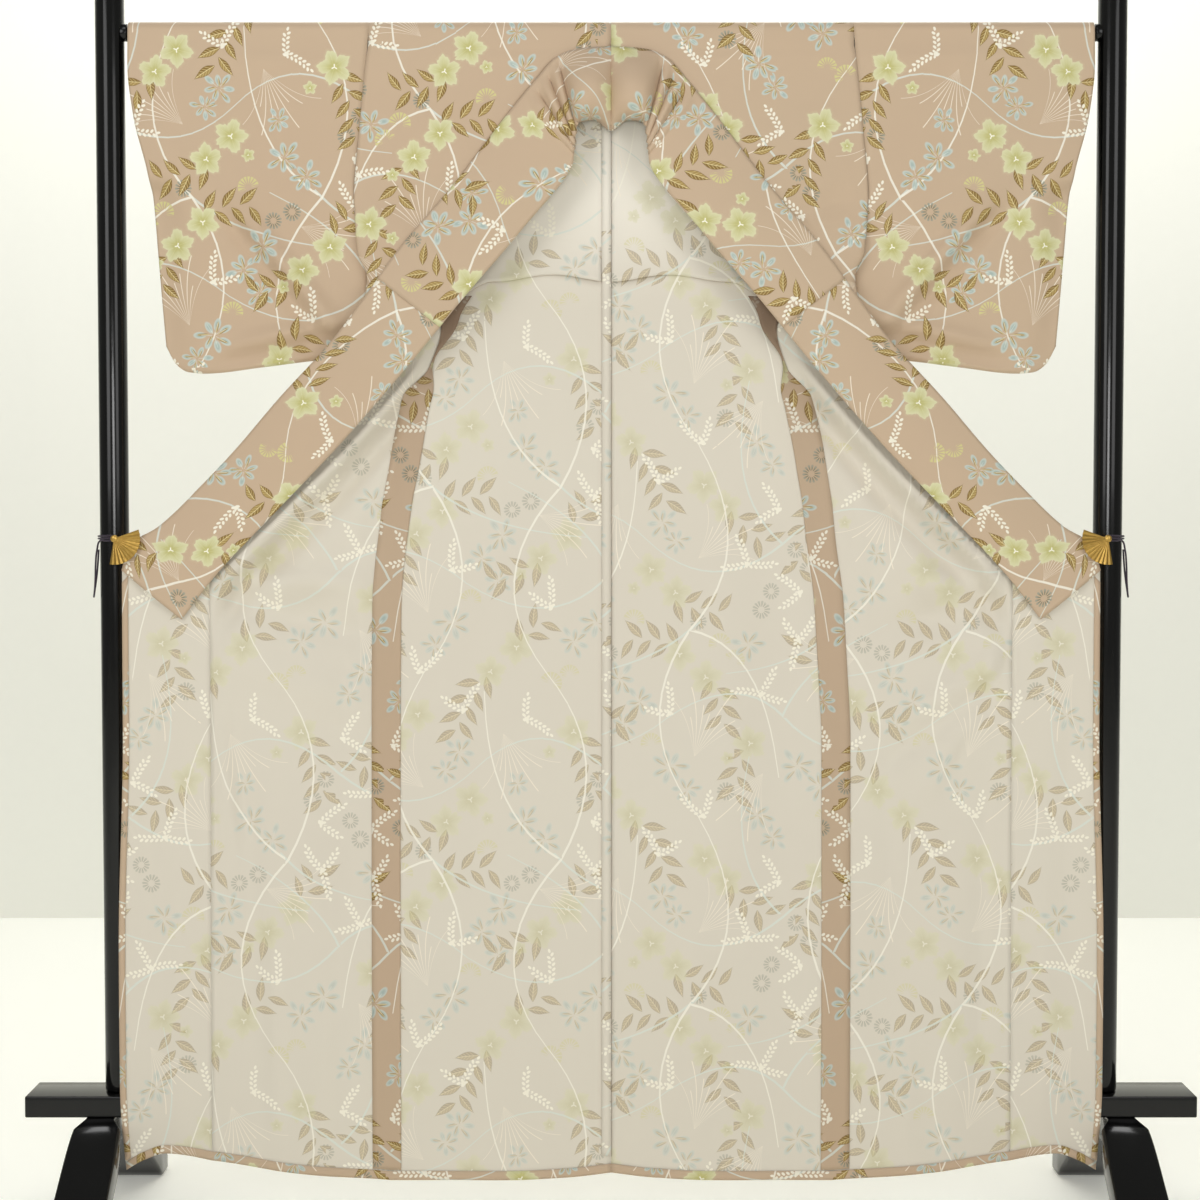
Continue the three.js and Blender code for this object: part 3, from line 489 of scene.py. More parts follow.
COLLAR_CROWN = 5
CROWN_SETTLES = (110, 0)
LOBE_END = 70
LOBE_ROLL = 27
LOBE_DROP = 12
# Past this share of its width a lobe turns under, back and up by these distances.
TURN_UNDER = 0.76
UNDER_BACK = 22
UNDER_RISE = 16
PLEATS_START = 0.3
# Rows lie close together as far as the pleats reach.
CLOSE_ROWS_END = 160
CLOSE_STEP = 2.5
WIDE_STEP = 8
COLLAR_COLUMNS = 25
COLLAR_PLEATS = Table(
    "run width depth", (78, 4, -8), (88, 5, 6), (101, 4, -6), (113, 5, 6), (128, 4, -5),
    (142, 8, 4),
)


def collar_point(across, run):
    crown = COLLAR_CROWN * np.sin(np.pi * across) * (1 + ease(*CROWN_SETTLES, run))
    rolled = np.sin(np.pi * np.clip(run / LOBE_END, 0, 1)) ** 0.5
    curl = np.sin(np.pi * across**1.3) ** 0.8
    under = np.clip((across - TURN_UNDER) / (1 - TURN_UNDER), 0, 1) ** 2
    pleats = bumps(COLLAR_PLEATS, run) * ease(0, PLEATS_START, across)
    forward = mix(SEAM_LINE.forward(run) + LAYER, FREE_EDGE.forward(run), across) + crown
    forward = forward + rolled * (LOBE_ROLL * curl - UNDER_BACK * under) + pleats
    x = mix(SEAM_LINE.x(run), FREE_EDGE.x(run), across)
    z = mix(SEAM_LINE.z(run), FREE_EDGE.z(run) - LOBE_DROP * rolled, across)
    return points(x, -forward, z + UNDER_RISE * under * rolled)


def collar_grid(end):
    close = np.arange(0, CLOSE_ROWS_END, CLOSE_STEP)
    wide = np.arange(CLOSE_ROWS_END, end, WIDE_STEP)
    runs = np.concatenate([close, wide, [end]])[:, None]
    return collar_point(np.linspace(0, 1, COLLAR_COLUMNS)[None, :], runs)


# Strips on the inside, from the panels' own points.

STRIP_END = 0.985
HEM_HEIGHT = 13
CENTRE_STRIP_WIDTH = 13
FRONT_EDGE_SHARE = 0.07


def share_down(z, across):
    return (BACK_TOP - z) / (BACK_TOP - HEM.z(HEM_SIDE * across))


TUCK_ROWS = 14
TUCK_COLUMNS = 40
TUCK_END = 226
TUCK_HEIGHT = 80
# The tuck's lower edge waves a little, and drops towards the side seam.
TUCK_Z = 1331
TUCK_WAVE = 5
TUCK_DROP = 40
TUCK_DROPS = (165, 235)
# Its top lies behind the back's face, and its lower edge stands out and waves.
TUCK_BEHIND = 2.4
TUCK_STANDS = 4.4
TUCK_LIP = 2.5
TUCK_LIP_WAVE = 1.5


def tuck_grid(side):
    """A fold of the back that starts flush with it and stands out at its lower edge."""
    start = CENTRE_STRIP_WIDTH + 1 if side == "left" else 1
    x = np.linspace(start, TUCK_END, TUCK_COLUMNS)[None, :]
    lower = TUCK_Z - TUCK_WAVE * np.cos(x / 26) - TUCK_DROP * ease(*TUCK_DROPS, x)
    down = np.linspace(0, 1, TUCK_ROWS)[:, None]
    z = lower + TUCK_HEIGHT * (1 - down)
    share = x / BACK_EDGE.x(z)
    grid = back_point(share, share_down(z, share), side)
    lip = TUCK_LIP + TUCK_LIP_WAVE * np.sin(x / 21)
    grid[..., 1] += TUCK_BEHIND - TUCK_STANDS * down**0.7 - lip * down**4
    return grid


CENTRE_STRIP_ROWS = 200
# How far each edge and the middle of the centre strip stand in front of the back.
CENTRE_STRIP_RISE = np.array([0.4, 0.9, 0.2])


def centre_strip_grid():
    v = np.linspace(0, STRIP_END, CENTRE_STRIP_ROWS)[:, None]
    grid = back_point(np.zeros((1, 3)), v, "left")
    grid[..., 0] = np.linspace(-CENTRE_STRIP_WIDTH, 0, 3)[None, :]
    grid[..., 1] -= CENTRE_STRIP_RISE[None, :]
    return grid


# How far the seam's cloth lies over the back and over the front, and how deep its shade is.
SEAM_CLOTH = Table(
    "z over_back over_front shade",
    (70, 15, 25, 0.12), (900, 15, 26, 0.12), (1080, 15, 27, 0.16), (1164, 13, 28, 0.26),
    (1206, 3, 3, 0.5), (1245, 14, 1, 0.66), (1273, 29, 1, 0.76), (1302, 69, 1, 0.8),
)
SEAM_RUNS = np.linspace(TURN_END_RUN, OKUMI_TOP["run"], 60)
SEAM_SHARES = np.linspace(0, STRIP_END, 110)
# Above the sewn seam the allowance comes away from the back.
SEAM_COMES_LOOSE = (1180, 1260)
LOOSE_BACK = 14
LOOSE_RISE = 10
BACK_PART_COLUMNS = 6
FRONT_PART_SHARES = np.array([0.34, 0.67, 1])


def seam_over_back(edge, side):
    """The part of the allowance that lies over the back, from its inner edge to the seam."""
    v = share_down(edge[2], 1)
    inner = np.linspace(1 - SEAM_CLOTH.over_back(edge[2]) / edge[0], 1, BACK_PART_COLUMNS)
    lying = back_point(inner, v, side)
    apart = points(edge[0] * inner, edge[1] - LOOSE_BACK * (1 - inner),
                   edge[2] + LOOSE_RISE * (1 - inner))
    part = mix(lying, apart, ease(*SEAM_COMES_LOOSE, edge[2]))
    part[-1] = edge
    return part


def seam_over_front(row):
    """The part of the allowance that lies over the end of a row of the front."""
    column = np.linalg.norm(row[-1] - row[-2])
    reach = SEAM_CLOTH.over_front(row[-1][2]) / column
    place = len(row) - 1 - reach * FRONT_PART_SHARES
    return np.stack([np.interp(place, np.arange(len(row)), row[:, k]) for k in range(3)], -1)


def side_strip_grid(side):
    """Both seam allowances, and above the sewn seam the front's own, which widens."""
    rows = [slanted_row(run, side) for run in SEAM_RUNS]
    rows += [hanging_row(v, side) for v in SEAM_SHARES[1:]]
    return np.array([
        np.concatenate([seam_over_back(row[-1], side), seam_over_front(row)]) for row in rows
    ])


# The hem band starts at this share of the way down, and is narrower along the back.
HANGING_HEIGHT = 960
HEM_TOP = 1 - HEM_HEIGHT / HANGING_HEIGHT
HEM_BACK_SHARE = 0.6
HEM_ROWS = 4
HEM_BACK_COLUMNS = 40
HEM_OKUMI_END = 0.995


def hem_grid(side):
    """Rows that run along the back, the front and the overlap panel in one."""
    levels = []
    for v in np.linspace(HEM_TOP, 1.0, HEM_ROWS):
        across = np.linspace(0, 1, HEM_BACK_COLUMNS)
        back = back_point(across, 1 - (1 - v) * HEM_BACK_SHARE, side)[:-1]
        front = hanging_row(v, side)[::-1]
        okumi = okumi_point(np.linspace(0, HEM_OKUMI_END, OKUMI_COLUMNS), v, side)[1:]
        levels.append(np.concatenate([back, front, okumi]))
    return np.array(levels)


FRONT_EDGE_TOP = 0.02
STRIP_ROWS = 110


def front_edge_grid(side):
    across = np.linspace(1 - FRONT_EDGE_SHARE, 1, 3)[None, :]
    down = np.linspace(FRONT_EDGE_TOP, STRIP_END, STRIP_ROWS)[:, None]
    return okumi_point(across, down, side)


# Sleeve: a flattened tube, open at the cuff and along its inner edge.

# The inner edge reaches in under the body's turned front.
UNDER_LIP = Table("z width reach", (1375, 45, 14))
CUFF_PINCH = (0.8, 1)
CUFF_EASE = 12
FOLDS_BEHIND = 0.5
INNER_EDGE_SHARE = 0.06
SLEEVE_SHARES = np.concatenate([np.linspace(0, 0.86, 32), np.linspace(0.88, 1, 12)])
SLEEVE_ROWS = 60
OVER_ROD = np.radians(np.linspace(-80, 80, 9))
UNDER_SLEEVE = np.radians([60, 30, 0, -30, -60])
BOTTOM_CURVE = 8.5


def sleeve_point(share, z, turn, side):
    x = mix(SLEEVE_INNER.x(z) - bumps(UNDER_LIP, z), SLEEVE_OUTER.x(z), share)
    sewn = ease(CUFF_END_Z + CUFF_EASE, CUFF_END_Z - CUFF_EASE, z)
    pinched = ease(*CUFF_PINCH, share) * sewn
    half = mix(SLEEVE_HALF_DEPTH.half(z), SEWN_HALF_DEPTH, pinched)
    reach = 1 if turn < 0 else FOLDS_BEHIND
    bulge = fold_height(SLEEVE_FOLDS[side], x, z) * reach * (1 - pinched)
    bulge = bulge * ease(0, INNER_EDGE_SHARE, share)
    return points(x, turn * np.maximum(half + bulge, SEWN_HALF_DEPTH), z)


def sleeve_grid(side):
    """Rings up the front, over the rod, down the back and round the bottom."""
    rings = []
    for share in SLEEVE_SHARES:
        bottom = SLEEVE_BOTTOM.z(share)
        half = sleeve_point(share, bottom + BOTTOM_CURVE, 1, side)[1]
        z = np.linspace(bottom + half, ROD_Z, SLEEVE_ROWS)
        over = sleeve_point(share, ROD_Z + WRAP_RADIUS * np.cos(OVER_ROD), 1, side)
        over[:, 1] = WRAP_RADIUS * np.sin(OVER_ROD)
        under = sleeve_point(share, bottom + half * (1 - np.cos(UNDER_SLEEVE)), 1, side)
        under[:, 1] = half * np.sin(UNDER_SLEEVE)
        front = sleeve_point(share, z, -1, side)
        back = sleeve_point(share, z[::-1], 1, side)
        rings.append(np.concatenate([front, over, back, under]))
    return np.array(rings)


# Print: a charted repeat of autumn flowers and grasses

TILE = np.array([380.0, 520.0])
FAR = 50.0

FLOWERS = Table(
    "x y turn size",
    (60, 452, 10, 25), (98, 420, 40, 24), (236, 486, 55, 24), (272, 454, 15, 25),
    (334, 362, 30, 25), (132, 296, 60, 25), (168, 262, 20, 23), (52, 178, 0, 25),
    (300, 172, 25, 24), (270, 202, 50, 25), (196, 84, 35, 25), (230, 52, 12, 24),
    (126, 398, 0, 10), (302, 430, 20, 10), (86, 150, 15, 10), (172, 58, 0, 10),
    (302, 342, 40, 10),
)
ROSETTES = Table(
    "x y turn size",
    (152, 452, 0, 24), (180, 420, 30, 22), (158, 388, 10, 19), (20, 330, 20, 24),
    (52, 304, 50, 21), (222, 330, 0, 24), (246, 298, 15, 19), (344, 262, 40, 23),
    (366, 230, 5, 19), (122, 54, 25, 23), (92, 28, 0, 21), (212, 150, 35, 21),
    (232, 124, 12, 18), (332, 500, 8, 22), (130, 106, 5, 17),
)
WHEELS = Table(
    "x y turn size",
    (112, 500, 0, 13), (138, 488, 10, 12), (300, 296, 3, 13), (18, 112, 0, 12),
    (36, 84, 6, 13), (262, 12, 0, 12), (350, 28, 5, 13), (364, 54, 0, 12),
)
HALF_WHEELS = Table(
    "x y turn size",
    (292, 500, 100, 16), (312, 478, 60, 15), (84, 246, 120, 16), (58, 258, 80, 14),
    (196, 362, 100, 15), (172, 14, 70, 15),
)
# Sprigs run from x, y in the direction of turn, bend as they go, and have a number of leaves.
SPRIG_NAMES = "x y turn bend leaves"
LEAF_PITCH = 25
LEAF_SPRIGS = Table(
    SPRIG_NAMES,
    (112, 408, -35, 40, 3), (44, 476, 130, -30, 2), (222, 502, 165, 25, 3),
    (286, 440, -70, -25, 3), (322, 342, 250, 25, 3), (182, 248, -50, -35, 4),
    (40, 158, 245, 30, 4), (316, 158, -50, 25, 3), (240, 38, -25, 30, 3),
    (118, 312, 130, 25, 2),
)
CLOVER_PITCH = 6.8
WHITE_SPRIGS = Table(
    SPRIG_NAMES,
    (22, 506, 40, 30, 6), (22, 506, 140, -30, 5), (22, 506, 255, 1, 6),
    (222, 404, 80, 25, 6), (222, 404, 180, -25, 5), (84, 352, 100, -25, 6), (84, 352, 20, 25, 5),
    (350, 430, 60, 1, 6), (350, 430, 330, 25, 5), (350, 430, 160, 25, 6),
    (206, 208, 110, 20, 6), (206, 208, 20, 20, 5), (118, 196, 80, 25, 5), (118, 196, 200, 25, 6),
    (330, 92, 100, 20, 6), (330, 92, 200, -25, 5), (330, 92, 350, 20, 6),
    (24, 52, 130, 25, 6), (24, 52, 230, -25, 5), (268, 262, 60, 25, 5), (268, 262, 150, -25, 6),
    (374, 168, 110, 20, 6), (374, 168, 200, 20, 5),
)
# Fine sprays fan out from x, y.
SPRAYS = Table(
    "x y turn size",
    (100, 480, 200, 96), (256, 344, 70, 104), (150, 176, 250, 98), (352, 320, 235, 104),
    (262, 100, 40, 92),
)
# Long stems: each curve's thick end, the point that it bends towards, and its thin end. They join
# into waves that run through the whole repeat, with branches, and no two of one table cross.
STEM_NAMES = "ax ay mx my bx by"
RISING_STEMS = Table(
    STEM_NAMES,
    (70, 0, -10, 140, 90, 260), (70, 520, 190, 390, 90, 260), (250, 0, 350, 110, 262, 260),
    (250, 520, 160, 390, 262, 260), (70, 0, 170, 60, 176, 220), (250, 520, 350, 500, 372, 330),
)
LEVEL_STEMS = Table(
    STEM_NAMES,
    (0, 120, 100, 215, 190, 126), (380, 120, 280, 40, 190, 126), (0, 400, 80, 310, 200, 384),
    (380, 400, 310, 470, 200, 384), (70, 520, 20, 470, -60, 462), (380, 120, 300, 190, 330, 330),
    (250, 520, 180, 460, 40, 450), (0, 400, 30, 470, 130, 520),
)
STEM_PARTS = 12
STEM_REACH = 16
# A face that reaches this far past a motif still belongs to it.
FACE_MARGIN = 10
SPRIG_MARGIN = 6
SPRIG_END = 0.4
TONES = 7


def nearest_image(difference):
    """The shortest way between two places of the repeat."""
    return difference - TILE * np.round(difference / TILE)


def turned(offset, degrees):
    a = np.radians(degrees)
    c, s = np.cos(a), np.sin(a)
    return np.stack([offset[..., 0] * c + offset[..., 1] * s,
                     offset[..., 1] * c - offset[..., 0] * s], axis=-1)


def motif_field(table, corners, reach=1.15):
    """For each face, the corners' places in the nearest motif's own frame, of radius 1, and the
    motif's tone."""
    x, y, turn, size = (table.columns[n] for n in ("x", "y", "turn", "size"))
    centre = corners.mean(axis=1)
    offset = nearest_image(centre[:, None, :] - np.stack([x, y], axis=-1)[None])
    distance = np.linalg.norm(offset, axis=-1) / size
    best = distance.argmin(axis=1)
    near = distance[np.arange(len(best)), best] < reach + FACE_MARGIN / size[best]
    place = np.stack([x, y], axis=-1)[best][:, None, :]
    shift = nearest_image(centre[:, None, :] - place) - centre[:, None, :]
    local = turned(corners + shift, turn[best][:, None]) / size[best][:, None, None]
    tone = np.broadcast_to(best[:, None, None] % TONES / TONES, local[..., :1].shape)
    field = np.concatenate([local, tone], axis=-1)
    field[~near] = FAR
    return field


def bent(local, bend, length):
    """Places along and across a line that turns by the angle bend over its length."""
    radius = length / np.radians(bend)
    side = np.sign(radius)
    radius = np.abs(radius)
    toward = radius - side * local[..., 1]
    along = np.arctan2(local[..., 0], toward) * radius
    across = side * (radius - np.hypot(local[..., 0], toward))
    return along, across


def sprig_place(table, row, spots, shift, pitch):
    """Places along and across one sprig for each face, in leaf pitches."""
    start = np.stack([table.columns["x"], table.columns["y"]], axis=-1)[row]
    leaves = table.columns["leaves"][row]
    local = turned(spots + shift - start, table.columns["turn"][row])
    along, across = bent(local, table.columns["bend"][row], pitch * leaves)
    return along / pitch, across / pitch, np.broadcast_to(leaves, along.shape)


def sprig_field(table, corners, pitch, reach):
    """For each face, the corners' places on the nearest sprig."""
    centre = corners.mean(axis=1)[:, None, :]
    start = np.stack([table.columns["x"], table.columns["y"]], axis=-1)[None]
    shift = nearest_image(centre - start) - (centre - start)
    every = np.arange(start.shape[1])[None, :]
    along, across, leaves = sprig_place(table, every, centre, shift, pitch)
    margin = SPRIG_MARGIN / pitch
    past = np.maximum(np.maximum(-along, along - leaves - 1), 0) / (SPRIG_END + margin)
    cost = np.maximum(past, np.abs(across) / (reach + margin))
    best = cost.argmin(axis=1)
    face = np.arange(len(best))
    chosen = sprig_place(table, best[:, None], corners, shift[face, best][:, None, :], pitch)
    field = np.stack(chosen, axis=-1)
    field[cost[face, best] > 1] = FAR
    return field


def stem_parts(stems):
    """Every stem as short straight parts: start, end and share along the stem."""
    t = np.linspace(0, 1, STEM_PARTS + 1)[:, None]
    starts, ends, shares = [], [], []
    for row in stems.rows():
        a, m, b = (np.array([row[k + "x"], row[k + "y"]]) for k in "amb")
        curve = (1 - t) ** 2 * a + 2 * t * (1 - t) * m + t**2 * b
        starts.append(curve[:-1])
        ends.append(curve[1:])
        shares.append(t[:-1, 0])
    return np.concatenate(starts), np.concatenate(ends), np.concatenate(shares)


def stem_place(start, end, spots):
    span = end - start
    length = np.linalg.norm(span, axis=-1)
    direction = span / length[..., None]
    local = spots - start
    along = (local * direction).sum(axis=-1)
    across = local[..., 1] * direction[..., 0] - local[..., 0] * direction[..., 1]
    return along, across, length


def stem_field(stems, corners):
    """For each face, signed distance to the nearest stem, and the share along it."""
    start, end, share = stem_parts(stems)
    centre = corners.mean(axis=1)[:, None, :]
    middle = (start + end)[None] / 2
    shift = nearest_image(centre - middle) - (centre - middle)
    along, across, length = stem_place(start[None], end[None], centre + shift)
    over = np.maximum(np.maximum(-along, along - length), 0)
    distance = np.hypot(over, across)
    best = distance.argmin(axis=1)
    face = np.arange(len(best))
    moved = corners + shift[face, best][:, None, :]
    along, across, length = stem_place(start[best][:, None], end[best][:, None], moved)
    along = share[best][:, None] + along / length / STEM_PARTS
    field = np.stack([across, along, np.zeros_like(along)], axis=-1)
    field[distance[face, best] > STEM_REACH] = FAR
    return field


def print_fields(corners):
    return {
        "flower": motif_field(FLOWERS, corners),
        "rosette": motif_field(ROSETTES, corners),
        "wheel": motif_field(WHEELS, corners),
        "half_wheel": motif_field(HALF_WHEELS, corners),
        "leaf_sprig": sprig_field(LEAF_SPRIGS, corners, LEAF_PITCH, 1.1),
        "white_sprig": sprig_field(WHITE_SPRIGS, corners, CLOVER_PITCH, 1.0),
        "spray": motif_field(SPRAYS, corners, 1.0),
        "rising_stem": stem_field(RISING_STEMS, corners),
        "level_stem": stem_field(LEVEL_STEMS, corners),
    }


# Shader maths

class Wire:
    """A shader socket or a number, with arithmetic that adds Math nodes."""

    def __init__(self, shader, socket):
        self.shader, self.socket = shader, socket

    def _math(self, operation, *others):
        return self.shader.math(operation, self, *others)

    def __add__(self, other):
        return self._math("ADD", other)

    def __sub__(self, other):
        return self._math("SUBTRACT", other)

    def __rsub__(self, other):
        return self.shader.math("SUBTRACT", other, self)

    def __mul__(self, other):
        return self._math("MULTIPLY", other)

    def __truediv__(self, other):
        return self._math("DIVIDE", other)

    def __pow__(self, other):
        return self._math("POWER", other)

    def __neg__(self):
        return self * -1

    def __abs__(self):
        return self._math("ABSOLUTE")

    __radd__ = __add__
    __rmul__ = __mul__


class Shader:
    """A material in the making: each method adds nodes and gives back what they put out."""

    def __init__(self, name):
        self.material = bpy.data.materials.new(name)
        self.material.use_nodes = True
        self.tree = self.material.node_tree
        self.tree.nodes.clear()

    def node(self, kind, settings=None, **sockets):
        node = self.tree.nodes.new(kind)
        for key, value in (settings or {}).items():
            setattr(node, key, value)
        for key, value in sockets.items():
            self.put(node.inputs[key.replace("_", " ")], value)
        return node

    def put(self, target, value):
        if isinstance(value, Wire):
            self.tree.links.new(value.socket, target)
        else:
            target.default_value = value

    def math(self, operation, *values):
        node = self.node("ShaderNodeMath", {"operation": operation})
        for target, value in zip(node.inputs, values):
            self.put(target, value)
        return Wire(self, node.outputs[0])

    def below(self, value, edge, soft):
        """1 where value is below edge, 0 above it, with a soft step."""
        if isinstance(edge, Wire):
            value, edge = value - edge, 0.0
        node = self.node("ShaderNodeMapRange", {"interpolation_type": "SMOOTHSTEP"}, Value=value,
                         From_Min=edge + soft, From_Max=edge - soft)
        return Wire(self, node.outputs["Result"])

    def attribute(self, name, output="Vector"):
        node = self.node("ShaderNodeAttribute", {"attribute_name": name})
        return Wire(self, node.outputs[output])

    def split(self, vector):
        split = self.node("ShaderNodeSeparateXYZ", Vector=vector)
        return [Wire(self, split.outputs[k]) for k in range(3)]

    def field(self, name):
        """A motif attribute's three numbers."""
        return self.split(self.attribute(name))

    def mix(self, factor, first, second):
        node = self.node("ShaderNodeMix", {"data_type": "RGBA"})
        self.put(node.inputs[0], factor)
        self.put(node.inputs[6], first)
        self.put(node.inputs[7], second)
        return Wire(self, node.outputs[2])

    def object_place(self):
        return Wire(self, self.node("ShaderNodeTexCoord").outputs["Object"])

    def noise(self, place, scale, detail=3.0):
        node = self.node("ShaderNodeTexNoise", Vector=place, Scale=scale, Detail=detail)
        return Wire(self, node.outputs["Fac"])

    def finish(self, **sockets):
        shader = self.node("ShaderNodeBsdfPrincipled", **sockets)
        output = self.node("ShaderNodeOutputMaterial")
        self.tree.links.new(shader.outputs[0], output.inputs[0])
        return self.material


def colour(code):
    """A screen colour such as "cdb29c" as linear red, green, blue, alpha."""
    channels = [int(code[i:i + 2], 16) / 255 for i in (0, 2, 4)]
    linear = [c / 12.92 if c <= 0.04045 else ((c + 0.055) / 1.055) ** 2.4 for c in channels]
    return (*linear, 1.0)


# The motifs are drawn in their own frames: lengths are shares of a motif's radius, or of the
# distance between two leaves of a sprig.

GROUND = colour("c2ac91")
REVERSE = colour("d8d1c2")
# Above this height, in metres, painted light makes the inside of the neck paler.
NECK_PAINTED_LIGHT = 1.37


def distance(s, x, y):
    return s.math("SQRT", x * x + y * y)


def oval(s, x, y, half_length, half_width):
    """Below 1 inside an oval about the origin, and above 1 outside it."""
    return distance(s, x / half_length, y / half_width)


def polar(s, x, y):
    return s.math("ARCTAN2", y, x), distance(s, x, y)


def repeat(s, angle, count):
    """The angle's place within one of count equal sectors, from -0.5 to 0.5."""
    return s.math("FRACT", angle * (count / (2 * math.pi)) + 100.5) - 0.5


def paint_flowers(s, base):
    """Bellflowers: five broad petals with pointed tips and a slightly ragged edge."""
    x, y, tone = s.field("flower")
    angle, r = polar(s, x, y)
    sector = abs(repeat(s, angle, 5)) * 2
    ragged = s.math("SINE", angle * 13.0 + tone * 30.0) * 0.03
    ragged = ragged + s.math("SINE", angle * 23.0 + tone * 50.0) * 0.022
    outline = 0.58 + (1.0 - sector) ** 0.72 * 0.4 + ragged
    depth = r / outline
    petal = s.mix(s.below(depth, 0.8, 0.25), colour("d6d3ab"), colour("cbc897"))
    petal = s.mix(s.below(depth, 0.42, 0.22), petal, colour("bcb776"))
    vein = s.below(abs(sector * r - 0.012), 0.012, 0.01) * s.below(r, 0.8, 0.1)
    petal = s.mix(vein * 0.3, petal, colour("dfddb0"))
    stamen = abs(repeat(s, angle + 0.5, 3))
    stamens = s.below(stamen * r, 0.016, 0.008) * s.below(r, 0.17, 0.02)
    petal = s.mix(stamens, petal, colour("f6f4e2"))
    base = s.mix(s.below(r, outline + 0.08, 0.12) * 0.3, base, colour("d3cca6"))
    return s.mix(s.below(depth, 1.0, 0.025) * 0.96, base, petal)


LEAFLETS = 7


def paint_rosettes(s, base):
    """Clusters of pale blue leaflets of uneven length, each with a gold-brown one along it."""
    x, y, tone = s.field("rosette")
    angle, r = polar(s, x, y)
    lane = angle * (LEAFLETS / (2 * math.pi)) + 100.5
    index = s.math("FLOOR", lane)
    turn = s.math("SINE", index * 5.1 + tone * 60.0)
    sector = (s.math("FRACT", lane) - 0.5) * (2 * math.pi / LEAFLETS) + turn * 0.12
    out = s.math("SINE", index * 2.4 + tone * 40.0) * 0.17
    p, q = r * s.math("COSINE", sector), r * s.math("SINE", sector)
    petal = oval(s, p + out - 0.66, q, 0.36, 0.19)
    blue = s.mix(s.below(petal, 0.6, 0.4), colour("c3cdc6"), colour("a3b6b1"))
    base = s.mix(s.below(petal, 1.0, 0.2) * 0.9, base, blue)
    side = q - 0.07 + p * 0.06
    leaf = oval(s, p + out - 0.48, side, 0.33, 0.075)
    gold = s.mix(s.below(abs(side), 0.014, 0.012), colour("9c8148"), colour("e2d39f"))
    seen = s.below(s.math("SINE", index * 1.7 + tone * 25.0), 0.7, 0.1)
    base = s.mix(s.below(leaf, 1.0, 0.18) * seen * 0.92, base, gold)
    rib = s.below(abs(q), 0.02, 0.01) * s.below(0.12, p, 0.02) * s.below(p, 0.74, 0.02)
    return s.mix(rib * 0.5, base, colour("dfe3d8"))


def paint_wheels(s, base):
    """Grey wheels of narrow petals round an open middle."""
    x, y, _ = s.field("wheel")
    angle, r = polar(s, x, y)
    ray = abs(repeat(s, angle, 14)) * 2
    ring = s.below(0.36, r, 0.04) * s.below(r, 0.98 - ray * ray * 0.2, 0.05)
    mask = s.below(ray, 0.3 + r * 0.4, 0.16) * ring
    petal = s.mix(s.below(r, 0.7, 0.2), colour("97998a"), colour("727560"))
    return s.mix(mask * 0.85, base, petal)


def paint_half_wheels(s, base):
    """Yellow-green half wheels of broader petals."""
    x, y, _ = s.field("half_wheel")
    angle, r = polar(s, x, y)
    ray = abs(repeat(s, angle, 17)) * 2
    petal = s.below(ray, r * 0.95 - 0.12, 0.12) * s.below(0.3, r, 0.04) * s.below(r, 0.98, 0.04)
    half = s.below(-x, 0.14, 0.03)
    return s.mix(petal * half * 0.9, base, colour("d0c98b"))


def leaf_place(s, along, across, tilt, start):
    """One leaf's own length and width directions, on both sides of a sprig in turn."""
    lower = s.below(across, 0.0, 0.001)
    shifted = along + lower * 0.5
    place = s.math("FRACT", shifted + 100.0) - start
    side = abs(across) - 0.03
    c, d = math.cos(math.radians(tilt)), math.sin(math.radians(tilt))
    return place * c + side * d, side * c - place * d, shifted


LEAF_LENGTH = 1.36


def paint_leaves(s, base):
    """Pointed brown leaves with gold veins, on both sides of an unseen stalk."""
    along, across, count = s.field("leaf_sprig")
    u, v, shifted = leaf_place(s, along, across, 50, 0.06)
    share = s.math("MAXIMUM", s.math("MINIMUM", u / LEAF_LENGTH, 1.0), 0.0)
    width = s.math("SINE", share**0.85 * math.pi) ** 1.25 * 0.235
    inside = s.below(0.0, shifted, 0.01) * s.below(shifted, count, 0.01)
    mask = s.below(abs(v), width, 0.012) * s.below(0.02, u, 0.01) * inside
    shade = s.mix(s.below(v, 0.0, 0.03), colour("86692f"), colour("a1864a"))
    lane = u * 5.0 - abs(v) * 6.0
    vein = s.below(abs(s.math("FRACT", lane) - 0.5), 0.13, 0.06) * s.below(0.16, share, 0.03)
    shade = s.mix(vein * 0.6, shade, colour("d8c387"))
    shade = s.mix(s.below(abs(v), 0.014, 0.012), shade, colour("eadba5"))
    rim = s.below(width - abs(v), 0.03, 0.015)
    shade = s.mix(rim * 0.75, shade, colour("755a29"))
    return s.mix(mask * 0.95, base, shade)


def paint_bush_clover(s, base):
    """Rows of small cream petals that meet in clusters."""
    along, across, count = s.field("white_sprig")
    u, v, shifted = leaf_place(s, along, across, 46, 0.02)
    petal = oval(s, u - 0.52, v, 0.44, 0.27)
    inside = s.below(0.0, shifted, 0.01) * s.below(shifted, count, 0.01)
    end = oval(s, along - count - 0.2, across, 0.42, 0.26)
    mask = s.math("MAXIMUM", s.below(petal, 1.0, 0.12) * inside, s.below(end, 1.0, 0.12))
    heart = s.below(distance(s, along, across), 0.5, 0.1)
    return s.mix(s.math("MAXIMUM", mask, heart) * 0.97, base, colour("efe9d8"))


def paint_stems(s, base):
    """Long stems that taper from their thick end."""
    for name, tint in (("level_stem", "d6dad0"), ("rising_stem", "efeadc")):
        across, share, _ = s.field(name)
        line = s.below(abs(across), 1.6 - share * 0.95, 0.35)
        base = s.mix(line * 0.85, base, colour(tint))
    return base


